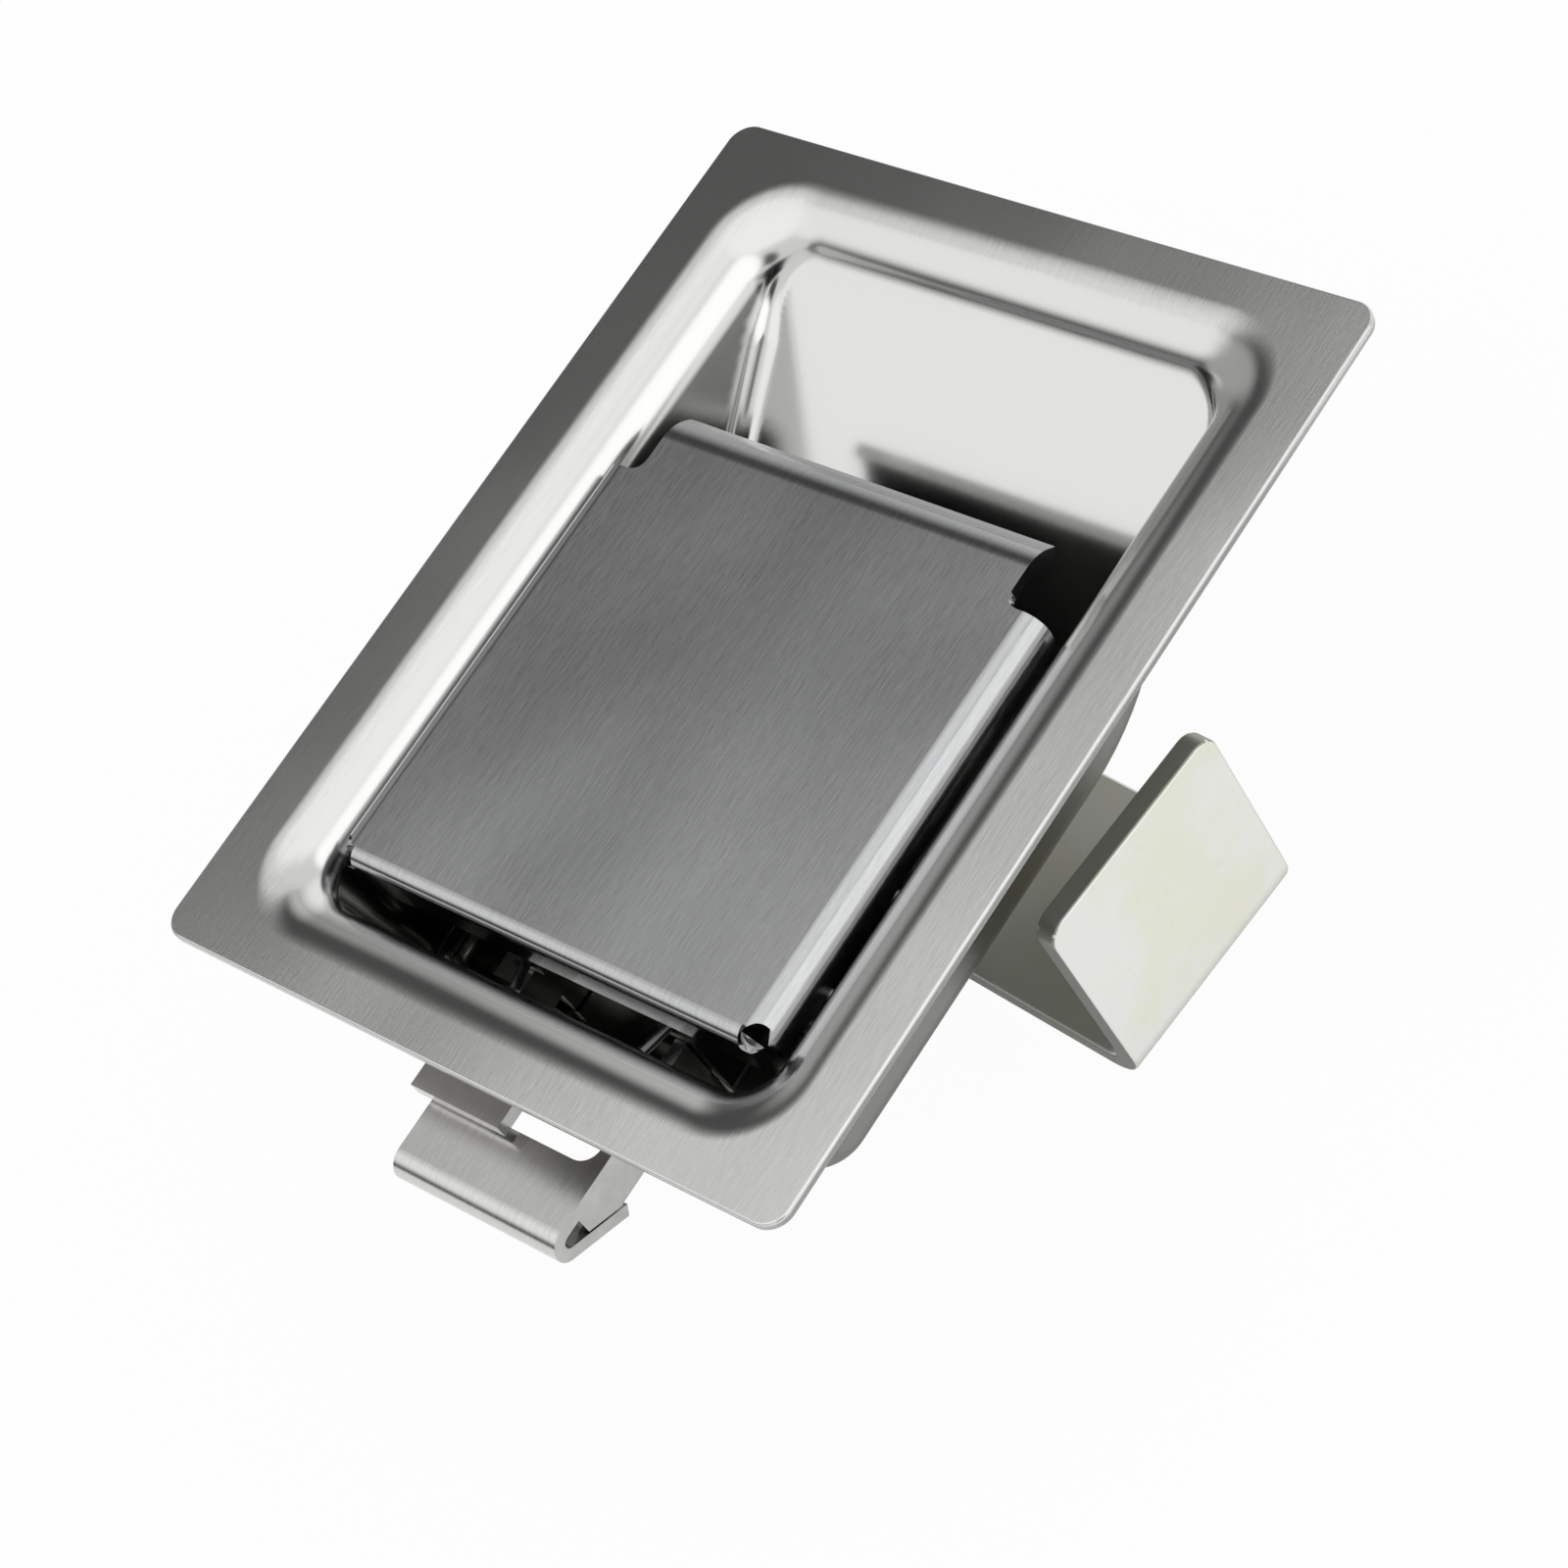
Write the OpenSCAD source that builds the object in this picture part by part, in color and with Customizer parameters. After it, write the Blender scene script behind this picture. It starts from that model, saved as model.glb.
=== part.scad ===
// Flush pull paddle latch: a drawn dish, a folded paddle, a spring loaded slam bolt and a clamp yoke.
// Millimetres. The origin is at the centre of the flange's back face, +Z points out of the front and +Y to the finger end.

/* [Dish] */
// Length of the flange, along Y
flange_l = 110; // [100:0.5:130]
// Width of the flange, along X
flange_w = 85; // [80:0.5:100]
// Sheet thickness of the dish
sheet = 1.2; // [0.8:0.1:1.6]
// Corner radius of the flange
flange_r = 2.8; // [1:0.1:6]
// Flat land of the flange at the two sides
land_side = 7.2; // [6:0.1:9]
// Flat land of the flange at the two ends
land_end = 6.3; // [5:0.1:9]
// Front radius of the rolled rim
rim_r = 5; // [4:0.1:6]
// Plan radius of the recess corners where the roll starts
corner_r = 10; // [9.8:0.1:13]
// Depth of the floor behind the flange's back face
recess_d = 22.5; // [21.5:0.1:25]
// Draft of the walls, degrees
draft = 5; // [3:0.5:6]
// Radius between walls and floor, inside
floor_r = 3; // [1.5:0.1:3.2]
// Slope of the finger scoop, degrees
scoop_a = 31.9; // [25:0.5:38]
// Depth at which the scoop starts under the finger end of the rim
scoop_z = 2.6; // [2:0.1:5]

/* [Paddle] */
// Sheet thickness of the paddle and lever
paddle_t = 1.5; // [1:0.1:2]
// How far the paddle stands proud of the flange
proud = 0.5; // [0:0.1:1.5]
// Gap between the paddle's sides and the recess at the foot of the rim roll
side_gap = 0.9; // [0.7:0.1:2]
// Gap between the paddle's end and the recess at the foot of the rim roll
end_gap = 3.6; // [3.4:0.1:5]
// Length of the full width plate
plate_l = 51.3; // [46:0.1:54]
// Width of the finger tongue
tongue_w = 49; // [40:0.5:52]
// Length of the finger tongue beyond the plate
tongue_l = 8.8; // [6:0.1:11]
// Height of the paddle's side flanges
side_h = 5; // [4:0.1:5.5]
// Height of the paddle's end flange
end_h = 5.7; // [4.5:0.1:5.8]
// Outer radius of the paddle's side bends
bend_r = 2.5; // [2:0.1:3]
// Outer radius of the paddle's end bend
end_r = 1.7; // [1.6:0.1:2.4]
// Radius of the corner relief between the side and end flanges
relief_r = 1.6; // [1.2:0.1:1.8]

/* [Pivot] */
// Diameter of the pivot pin
pin_d = 5; // [4:0.1:5.2]
// Depth of the pin behind the flange's back face
pin_depth = 7; // [6.8:0.1:7.4]
// Distance from the paddle's end to the pin
pin_in = 8.5; // [8.3:0.1:9]
// Reach of the lever finger below the pin
finger_reach = 12; // [11.4:0.1:12.4]
// Width of the lever finger
finger_w = 6.4; // [5:0.1:6.6]
// Half distance over the lever's ears
ear_x = 22; // [20.5:0.1:24]

/* [Bolt] */
// Width of the bolt
bolt_w = 22.8; // [22:0.1:26]
// Sheet thickness of the bolt
bolt_t = 1.5; // [1.2:0.1:1.6]
// Depth of the bolt's front face behind the flange's back face
bolt_z = 13; // [12.6:0.1:13.4]
// How far the nose reaches beyond the flange
bolt_out = 8.3; // [6:0.1:10]
// Outer radius of the rolled nose
nose_r = 2.3; // [2:0.1:2.8]
// Angle of the slam ramp to the bolt's travel, degrees
ramp_a = 27; // [22:0.5:32]
// Length of the slam ramp
ramp_l = 8; // [6:0.1:9]
// Length of the solid nose plate, from the nose tip to the window
nose_plate = 7.3; // [6:0.1:9]
// Length of the bolt's guided part behind the drive wall
bolt_tail = 13; // [10:0.1:14]
// Mean length of the bolt springs at rest
spring_l = 24; // [22:0.1:27]
// Outside diameter of the bolt springs
spring_d = 6; // [5:0.1:6]
// Wire of the bolt springs
spring_wire = 0.9; // [0.7:0.1:1]

/* [Clamp yoke] */
// Distance over the legs
yoke_span = 82.8; // [81:0.1:90]
// Width of the strap and legs
yoke_w = 26.5; // [20:0.5:28]
// Thickness of the strap
yoke_t = 2.6; // [2.2:0.1:3.4]
// Depth of the strap's back behind the flange's back face
yoke_z = 44; // [41:0.1:47]
// Height of the legs, from the strap's back
leg_h = 29.9; // [24:0.1:31]
// Turn of the yoke on its stud as it is shown, degrees
yoke_turn = -5.8; // [-12:0.1:12]
// Distance of the stud from the middle, toward the finger end
stud_y = 3.8; // [0:0.1:5]
// Thread diameter of the stud
stud_d = 6; // [5:0.1:6]

/* [Clearances] */
// Between sliding sheet pieces
slide_gap = 0.3; // [0.2:0.05:0.4]
// Radial, between the pin and the lever's ears
pivot_gap = 0.1; // [0.05:0.05:0.2]
// Radial, between the stud and the yoke and washers
stud_gap = 0.3; // [0.2:0.05:0.4]
// Radial, between the stud and the nut
thread_gap = 0.05; // [0.02:0.01:0.08]

/* [Hidden] */
$fn = 48;
eps = 0.01;
// Roll start, and the axis of the recess corners
xs = flange_w / 2 - land_side;
ys = flange_l / 2 - land_end;
cx = xs - corner_r;
cy = ys - corner_r;
roll_z = sheet - rim_r;
arc_end = 90 - draft;
// Recess wall at the foot of the roll, inside
foot_x = xs - rim_r * sin(arc_end);
foot_y = ys - rim_r * sin(arc_end);
foot_z = roll_z + rim_r * cos(arc_end);
floor_z = -recess_d;
back_z = -recess_d - sheet;
function wall_out_x(z) = xs - (rim_r - sheet) * sin(arc_end)
    - (roll_z + (rim_r - sheet) * cos(arc_end) - z) * tan(draft);
function wall_out_y(z) = ys - (rim_r - sheet) * sin(arc_end)
    - (roll_z + (rim_r - sheet) * cos(arc_end) - z) * tan(draft);
// Paddle
pad_x = foot_x - side_gap;
pad_y0 = -foot_y + end_gap;
pad_y1 = pad_y0 + plate_l;
pad_top = sheet + proud;
pad_under = pad_top - paddle_t;
// Pivot and lever
pin_y = pad_y0 + pin_in;
pin_z = -pin_depth;
lever_under = pad_under - paddle_t;
finger_y1 = pin_y - 3;
finger_y0 = finger_y1 - paddle_t;
finger_z = pin_z - finger_reach;
head_d = pin_d + 1.5;
clip_d = pin_d + 4.5;
head_x = wall_out_x(pin_z + head_d / 2) + 0.02;
clip_x = xs - sqrt(pow(rim_r - sheet, 2) - pow(pin_z + clip_d / 2 - roll_z, 2)) + 0.1;
clip_t = 0.9;
clip_groove = pin_d - 0.8;
// Bolt
bolt_x = bolt_w / 2;
bolt_front = -bolt_z;
bolt_under = bolt_front - bolt_t;
nose_y = -flange_l / 2 - bolt_out;
nose_c = nose_y + nose_r;
drive_y = finger_y1 + slide_gap;
drive_y1 = drive_y + bolt_t;
tail_y = drive_y1 + bolt_tail;
cheek_low = floor_z + slide_gap;
cheek_mid = bolt_front - 6;
window_y = nose_y + nose_plate;
seat_y = drive_y1 + spring_l;
spring_x = bolt_x - bolt_t - slide_gap - spring_d / 2;
spring_z = bolt_under - 0.2 - spring_d / 2;
rod_d = spring_d - 2 * spring_wire - 0.8;
// Rails
rail_t = 1.2;
rail_x = bolt_x + slide_gap;
lip_z0 = bolt_front + slide_gap - 0.05;
lip_z1 = lip_z0 + rail_t;
rail_y0 = -foot_y + 5.2;
rail_y1 = tail_y + 10;
rail_foot = rail_x + 9.5;
rivet_d = 3;
rivet_x = rail_foot - 4;
rivet_ys = [rail_y0 + 5.5, rail_y1 - 5];
seat_foot = 10;
seat_rivet_y = seat_y + 6.2;
seat_rivet_x = 6.5;
// Guide tab over the left half of the bolt
tab_x0 = -bolt_x - 1.3;
tab_x1 = -0.3;
tab_front = bolt_front + 2.6;
tab_t = 1.8;
tab_end = -flange_l / 2 - 0.3;
guide_t = 1.2;
guide_rivet_d = 2.5;
guide_z = -8;
// Torsion springs on the pin
coil_wire = 1.2;
coil_r = pin_d / 2 + 0.3 + coil_wire / 2;
coil_x = 11.2;
// Clamp
strap_in = -yoke_z + yoke_t;
washer_t = 1.6;
lock_t = 1.6;
nut_t = 5;
washer_z = -yoke_z - washer_t;
lock_z = washer_z - lock_t;
nut_z = lock_z - nut_t;
stud_end = nut_z - 2.8;

// The node to draw, or all

// Shared shapes

// A box given by its two corners
module box(a, b) {
    translate(a) cube(b - a);
}

// A plate with rounded corners in plan
module rounded_plate(w, l, r, z0, z1) {
    box([-w / 2 + r, -l / 2, z0], [w / 2 - r, l / 2, z1]);
    box([-w / 2, -l / 2 + r, z0], [w / 2, l / 2 - r, z1]);
    for (i = [-1, 1], j = [-1, 1])
        translate([i * (w / 2 - r), j * (l / 2 - r), z0]) cylinder(r = r, h = z1 - z0);
}

// A rod along X from x0 to x1
module rod_x(x0, x1, y, z, d) {
    translate([x0, y, z]) rotate([0, 90, 0]) cylinder(d = d, h = x1 - x0);
}

// A rod along Y from y0 to y1
module rod_y(y0, y1, x, z, d) {
    translate([x, y0, z]) rotate([-90, 0, 0]) cylinder(d = d, h = y1 - y0);
}

// A 2D outline in (y, z) drawn out along X from x0 to x1
module along_x(x0, x1) {
    translate([x0, 0, 0]) rotate([90, 0, 90]) linear_extrude(height = x1 - x0) children();
}

// A 2D outline in (x, z) drawn out along Y from y0 to y1
module along_y(y0, y1) {
    translate([0, y1, 0]) rotate([90, 0, 0]) linear_extrude(height = y1 - y0) children();
}

// A ring sector from angle a0 to a1, less than half a turn
module sector(r0, r1, a0, a1) {
    big = 3 * r1;
    am = (a0 + a1) / 2;
    intersection() {
        difference() {
            circle(r = r1);
            if (r0 > 0) circle(r = r0);
        }
        polygon([[0, 0], big * [cos(a0), sin(a0)], big * [cos(am), sin(am)], big * [cos(a1), sin(a1)]]);
    }
}

// A bent strip of thickness t in 2D: each row is [straight length, bend angle, inner radius]
// It starts along +x with its lower side on y = 0, and a positive bend turns left
// After a bend that isn't square the next straight is set a hair inside the bend, so that the two overlap cleanly
module bent_strip(rows, t, i = 0, skew = false) {
    if (i < len(rows)) {
        l = rows[i][0];
        a = rows[i][1];
        r = rows[i][2];
        odd = a % 90 != 0;
        if (l > 0) {
            if (skew) translate([-0.2, eps]) square([l + 0.2, t - 2 * eps]);
            else square([l, t]);
        }
        translate([l, 0]) {
            if (a > 0) {
                translate([0, t + r]) {
                    sector(r, r + t, -90, -90 + a);
                    rotate(a) translate([0, -t - r]) bent_strip(rows, t, i + 1, odd);
                }
            } else if (a < 0) {
                translate([0, -r]) {
                    sector(r, r + t, 90 + a, 90);
                    rotate(a) translate([0, r]) bent_strip(rows, t, i + 1, odd);
                }
            } else {
                bent_strip(rows, t, i + 1);
            }
        }
    }
}

// A round wire through a list of points, its section kept square to the path with the help of a fixed direction
function unit(v) = v / norm(v);
function tangent(p, i) = unit(p[min(i + 1, len(p) - 1)] - p[max(i - 1, 0)]);
module wire(p, d, ref, sides = 8) {
    n = len(p);
    pts = [for (i = [0:n - 1])
        let (t = tangent(p, i), u = unit(cross(t, ref)), v = cross(t, u))
        for (k = [0:sides - 1])
            p[i] + d / 2 * (cos(360 * k / sides) * u + sin(360 * k / sides) * v)];
    faces = concat(
        [for (i = [0:n - 2], k = [0:sides - 1])
            let (a = i * sides + k, b = i * sides + (k + 1) % sides)
            [a, b, b + sides, a + sides]],
        [[for (k = [sides - 1:-1:0]) k]],
        [[for (k = [0:sides - 1]) (n - 1) * sides + k]]);
    polyhedron(points = pts, faces = faces, convexity = 6);
}

// A rivet along -Z with a low round head above z1 and a flat tail below z0
module rivet(x, y, z0, z1, d, tail = 0.8) {
    translate([x, y, z0 - tail]) cylinder(d = 1.55 * d, h = tail);
    translate([x, y, z0 - eps]) cylinder(d = d, h = z1 - z0 + 2 * eps);
    translate([x, y, z1]) cylinder(d1 = 1.7 * d, d2 = 1.1 * d, h = 0.9);
}

// Dish

// Half outline of the pan from its corner axis, in (radius, z), moved back by o from the front surface
module pan_outline(o) {
    top = sheet - o;
    qe = (rim_r - o) * sin(arc_end);
    ze = roll_z + (rim_r - o) * cos(arc_end);
    zf = floor_z - o;
    rho = floor_r + o;
    qk = qe + (ze - zf) * tan(draft);
    qc = qk + rho * (1 - sin(draft)) / cos(draft);
    c = [corner_r - qc, zf + rho];
    t1 = c + rho * [cos(draft), -sin(draft)];
    t2 = c + rho * [0, -1];
    difference() {
        polygon([[0, top], [corner_r, top], [corner_r, roll_z], [corner_r - qe, ze], t1, c, t2, [0, zf]]);
        translate([corner_r, roll_z]) circle(r = rim_r - o);
    }
    intersection() {
        translate(c) circle(r = rho);
        polygon([c, c + 2 * (t1 - c), c + 2 * (t1 + t2 - 2 * c), c + 2 * (t2 - c)]);
    }
}

// The pan as one solid, moved back by o from the front surface
module pan(o) {
    box([-cx, -cy, floor_z - o], [cx, cy, sheet - o]);
    for (i = [0, 1]) {
        mirror([i, 0, 0]) translate([cx, 0, 0]) along_y(-cy, cy) pan_outline(o);
        mirror([0, i, 0]) translate([0, cy, 0]) along_x(-cx, cx) pan_outline(o);
    }
    for (i = [0, 1], j = [0, 1])
        mirror([i, 0, 0]) mirror([0, j, 0]) translate([cx, cy, 0])
            rotate_extrude(angle = 90) pan_outline(o);
}

// Everything in front of the scoop's plane, moved back by o
module above_scoop(o) {
    z0 = -scoop_z - o / cos(scoop_a);
    y0 = foot_y;
    k = tan(scoop_a);
    along_x(-flange_w, flange_w)
        polygon([[-flange_l, 30], [flange_l, 30], [flange_l, z0 + (flange_l - y0) * k],
            [y0 - (60 + z0) / k, -60], [-flange_l, -60]]);
}

module dish() {
    color("silver") difference() {
        union() {
            rounded_plate(flange_w, flange_l, flange_r, 0, sheet);
            intersection() {
                pan(sheet);
                above_scoop(sheet);
            }
        }
        intersection() {
            pan(0);
            above_scoop(0);
        }
        // slot for the bolt
        box([-bolt_x - 0.5, -ys, cheek_mid - 0.5], [bolt_x + 0.5, -cy, bolt_front + 0.4]);
        // holes for the pin
        rod_x(-flange_w / 2, flange_w / 2, pin_y, pin_z, pin_d);
        // holes for the rivets of the rails and the spring seat
        for (i = [-1, 1]) {
            for (y = rivet_ys) translate([i * rivet_x, y, back_z - 1]) cylinder(d = rivet_d, h = sheet + 2);
            translate([i * seat_rivet_x, seat_rivet_y, back_z - 1]) cylinder(d = rivet_d, h = sheet + 2);
        }
        // holes for the rivets of the guide tab
        for (x = guide_xs) on_end_wall(x) translate([0, 0, -4]) cylinder(d = guide_rivet_d, h = 8);
    }
}

// The outer face of the latch end wall: z points out of the wall
guide_xs = [tab_x0 + 2.9, tab_x1 - 2.9];
module on_end_wall(x) {
    translate([x, -wall_out_y(guide_z), guide_z]) rotate([90 + draft, 0, 0]) children();
}

module mounting_stud() {
    color("silver") translate([0, stud_y, 0]) {
        translate([0, 0, back_z - 1.2]) cylinder(d = stud_d + 3, h = 1.2);
        translate([0, 0, stud_end + 0.8]) cylinder(d = stud_d, h = back_z - 1 - stud_end - 0.8);
        translate([0, 0, stud_end]) cylinder(d1 = stud_d - 1.6, d2 = stud_d, h = 0.8 + eps);
    }
}

// Bolt rails and spring seat

// A rail in (x, z) on the right: foot, upright and lip
module rail_outline() {
    translate([rail_foot, floor_z + rail_t]) rotate(180)
        bent_strip([[rail_foot - rail_x - rail_t - 0.5, -90, 0.5],
            [lip_z1 - floor_z - 2 * rail_t - 1, 90, 0.5], [3, 0, 0]], rail_t);
}

module rail() {
    difference() {
        along_y(rail_y0, rail_y1) rail_outline();
        for (y = rivet_ys) translate([rivet_x, y, floor_z - 1]) cylinder(d = rivet_d, h = rail_t + 2);
    }
}

module bolt_rail_right() {
    color("lightgray") rail();
}

module bolt_rail_left() {
    color("lightgray") mirror([1, 0, 0]) rail();
}

module rail_rivets() {
    color("gray") for (i = [-1, 1], y = rivet_ys) rivet(i * rivet_x, y, back_z, floor_z + rail_t, rivet_d);
}

module spring_seat() {
    color("lightgray") difference() {
        along_x(-bolt_x + 1, bolt_x - 1)
            translate([seat_y + seat_foot, floor_z + rail_t]) rotate(180)
                bent_strip([[seat_foot - rail_t - 0.8, -90, 0.8],
                    [spring_z + 4.2 - floor_z - rail_t - 0.8, 0, 0]], rail_t);
        for (i = [-1, 1]) {
            rod_y(seat_y - 1, seat_y + rail_t + 1, i * spring_x, spring_z, rod_d);
            translate([i * seat_rivet_x, seat_rivet_y, floor_z - 1]) cylinder(d = rivet_d, h = rail_t + 2);
        }
    }
}

module seat_rivets() {
    color("gray") for (i = [-1, 1])
        rivet(i * seat_rivet_x, seat_rivet_y, back_z, floor_z + rail_t, rivet_d);
}

module spring_rods() {
    color("gray") for (i = [-1, 1]) {
        rod_y(seat_y - spring_l / 2 - 1, seat_y + rail_t + eps, i * spring_x, spring_z, rod_d);
        rod_y(seat_y + rail_t, seat_y + rail_t + 0.9, i * spring_x, spring_z, rod_d + 2);
    }
}

// Guide tab on the end wall

module end_guide() {
    w = tab_x1 - tab_x0;
    low = tab_front - guide_z;
    color("gray") difference() {
        union() {
            box([tab_x0, tab_end, tab_front - tab_t], [tab_x1, -wall_out_y(tab_front) - 0.6, tab_front]);
            on_end_wall(tab_x0) box([0, low - tab_t * 0.9, 0], [w, 3.6, guide_t]);
        }
        for (x = guide_xs) on_end_wall(x) translate([0, 0, -1]) cylinder(d = guide_rivet_d, h = 4);
    }
}

module guide_rivets() {
    color("gray") for (x = guide_xs) on_end_wall(x) rivet(0, 0, -sheet, guide_t, guide_rivet_d, 0.35);
}

// Pivot

module pivot_pin() {
    end = clip_x + clip_t + 1.2;
    color("gray") difference() {
        union() {
            rod_x(-head_x - 1.6, -head_x, pin_y, pin_z, head_d);
            rod_x(-head_x - eps, end, pin_y, pin_z, pin_d);
        }
        difference() {
            rod_x(clip_x, clip_x + clip_t, pin_y, pin_z, pin_d + 2);
            rod_x(clip_x - 1, clip_x + clip_t + 1, pin_y, pin_z, clip_groove);
        }
    }
}

module pin_clip() {
    color("gray") difference() {
        rod_x(clip_x + 0.05, clip_x + clip_t - 0.05, pin_y, pin_z, clip_d);
        rod_x(clip_x - 1, clip_x + clip_t + 1, pin_y, pin_z, clip_groove);
        box([clip_x - 1, pin_y - clip_groove * 0.42, pin_z - clip_d],
            [clip_x + clip_t + 1, pin_y + clip_groove * 0.42, pin_z]);
    }
}

// Paddle

module paddle() {
    ri = bend_r - paddle_t;
    end_ri = end_r - paddle_t;
    half = pad_x - bend_r;
    curl = 42;
    curl_r = 3.4;
    flat = tongue_l - (curl_r + paddle_t) * sin(curl) - 1;
    inner = pad_x - paddle_t;
    color("silver") {
        difference() {
            union() {
                // plate with its two side flanges
                along_y(pad_y0 + end_r, pad_y1)
                    translate([pad_x, pad_top - side_h]) rotate(90)
                        bent_strip([[side_h - bend_r, 90, ri], [2 * half, 90, ri], [side_h - bend_r, 0, 0]],
                            paddle_t);
                // end flange, wider below its bend than at the plate
                along_x(-half + 0.3, half - 0.3)
                    translate([pad_y0 + end_r + 1, pad_top]) rotate(180)
                        bent_strip([[1, 90, end_ri], [end_h - end_r, 0, 0]], paddle_t);
                box([-inner + 0.15, pad_y0, pad_top - end_h], [inner - 0.15, pad_y0 + paddle_t, pad_top - end_r - 0.4]);
                // finger tongue
                along_x(-tongue_w / 2, tongue_w / 2)
                    translate([pad_y1 - 1, pad_under])
                        bent_strip([[flat + 1, -curl, curl_r], [1, 0, 0]], paddle_t);
                // fillets beside the tongue
                for (i = [-1, 1])
                    translate([i * (tongue_w / 2 + 0.75), pad_y1 + 0.75, (pad_top + pad_under) / 2])
                        cube([1.5, 1.5, paddle_t], center = true);
            }
            for (i = [-1, 1])
                translate([i * (tongue_w / 2 + 1.5), pad_y1 + 1.5, pad_under - 1]) cylinder(r = 1.45, h = paddle_t + 2);
            // round relief where the side and end bends meet
            for (i = [-1, 1])
                translate([i * pad_x, pad_y0, pad_top]) rotate([0, 0, -90 + i * 45]) rotate([0, atan(sqrt(2)), 0])
                    translate([0, 0, -4]) cylinder(r = relief_r, h = 8);
        }
    }
}

module trip_lever() {
    ri = 1;
    base_y0 = finger_y0 + paddle_t + ri;
    base_y1 = pin_y + 14;
    ear = [pin_y - 4, pin_y + 4];
    color("gray") difference() {
        union() {
            box([-ear_x + paddle_t + ri, base_y0, lever_under], [ear_x - paddle_t - ri, base_y1, pad_under]);
            // ears
            along_y(ear[0], ear[1])
                translate([ear_x, pin_z]) rotate(90)
                    bent_strip([[pad_under - pin_z - paddle_t - ri, 90, ri],
                        [2 * (ear_x - paddle_t - ri), 90, ri],
                        [pad_under - pin_z - paddle_t - ri, 0, 0]], paddle_t);
            for (i = [-1, 1])
                rod_x(i * (ear_x - paddle_t / 2) - paddle_t / 2, i * (ear_x - paddle_t / 2) + paddle_t / 2,
                    pin_y, pin_z, 8);
            // finger
            along_x(-finger_w / 2, finger_w / 2)
                translate([base_y0 + 1, pad_under]) rotate(180)
                    bent_strip([[1, 90, ri], [pad_under - paddle_t - ri - finger_z, 0, 0]], paddle_t);
        }
        rod_x(-ear_x - 1, ear_x + 1, pin_y, pin_z, pin_d + 2 * pivot_gap);
    }
}

// Bolt

module slam_bolt() {
    inner = bolt_x - bolt_t;
    ri = nose_r - bolt_t;
    c = [nose_c, bolt_front - nose_r];
    n = [-sin(ramp_a), -cos(ramp_a)];
    // inner side of the ramp, and where the cheeks stop short of the rolled nose
    q = c + ri * n;
    ramp_y = q[0] + (q[1] + slide_gap - cheek_mid) / tan(ramp_a);
    cheek_y = nose_c + 2;
    cheek_z = q[1] + slide_gap - (cheek_y - q[0]) * tan(ramp_a);
    step_y = rail_y0 + 0.6;
    color("silver") {
        // nose plate, rolled nose and slam ramp
        along_x(-bolt_x, bolt_x)
            translate([window_y, bolt_front]) rotate(180)
                bent_strip([[window_y - nose_c, 180 - ramp_a, ri], [ramp_l, 0, 0]], bolt_t);
        // cheeks
        for (i = [-1, 1])
            along_x(i * (bolt_x - bolt_t / 2) - bolt_t / 2, i * (bolt_x - bolt_t / 2) + bolt_t / 2)
                polygon([[tail_y, bolt_front], [tail_y, cheek_low], [step_y, cheek_low], [step_y, cheek_mid],
                    [ramp_y, cheek_mid], [cheek_y, cheek_z], [cheek_y, bolt_front]]);
        // drive wall and tail plate
        box([-inner - eps, drive_y, cheek_low + 1], [inner + eps, drive_y1, bolt_front]);
        box([-inner - eps, drive_y, bolt_under], [inner + eps, tail_y, bolt_front]);
        // spigots for the springs
        for (i = [-1, 1]) rod_y(drive_y1 - eps, drive_y1 + 2, i * spring_x, spring_z, rod_d);
    }
}

// Springs

// A coil along Y with closed ends, from y0 to y1
module compression_spring(x) {
    turns = 9;
    steps = 14;
    r = (spring_d - spring_wire) / 2;
    y0 = drive_y1 + spring_wire / 2;
    y1 = seat_y - spring_wire / 2;
    pitch = spring_wire * 1.03;
    rise = (y1 - y0 - 2 * pitch) / (turns - 2);
    n = turns * steps;
    p = [for (i = [0:n])
        let (t = i / steps,
            y = t < 1 ? pitch * t : t > turns - 1 ? y1 - y0 - pitch * (turns - t) : pitch + rise * (t - 1))
        [x + r * cos(360 * t), y0 + y, spring_z + r * sin(360 * t)]];
    wire(p, spring_wire, [0, 1, 0], 7);
}

module bolt_spring_left() {
    color("dimgray") compression_spring(-spring_x);
}

module bolt_spring_right() {
    color("dimgray") compression_spring(spring_x);
}

// A coil on the pin: one leg rests on the rail's lip, the other lifts the lever
module torsion_spring() {
    steps = 16;
    turns = 3.5;
    n = turns * steps;
    pitch = coil_wire * 1.08;
    low = lip_z1 + coil_wire / 2;
    high = lever_under - coil_wire / 2;
    coil = [for (i = [0:n])
        let (a = 360 * i / steps)
        [coil_x + pitch * i / steps, pin_y + coil_r * sin(a), pin_z - coil_r * cos(a)]];
    fixed_leg = [[coil_x - 2.2, -foot_y + 2, low], [coil_x - 1.2, pin_y - 6, low], [coil_x - 0.3, pin_y - 2.4, low + 0.1]];
    out = coil_x + pitch * turns;
    moving_leg = [[out + 0.3, pin_y - 2.2, high - 0.6], [out + 0.6, pin_y - 3.4, high], [out + 0.8, pin_y - 4.3, high]];
    wire(concat(fixed_leg, coil, moving_leg), coil_wire, [1, 0, 0], 8);
}

module paddle_spring_right() {
    color("dimgray") torsion_spring();
}

module paddle_spring_left() {
    color("dimgray") mirror([1, 0, 0]) torsion_spring();
}

// Clamp

// Places a shape of the clamp on the stud, turned as it is shown
module on_stud() {
    translate([0, stud_y, 0]) rotate([0, 0, yoke_turn]) children();
}

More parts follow.
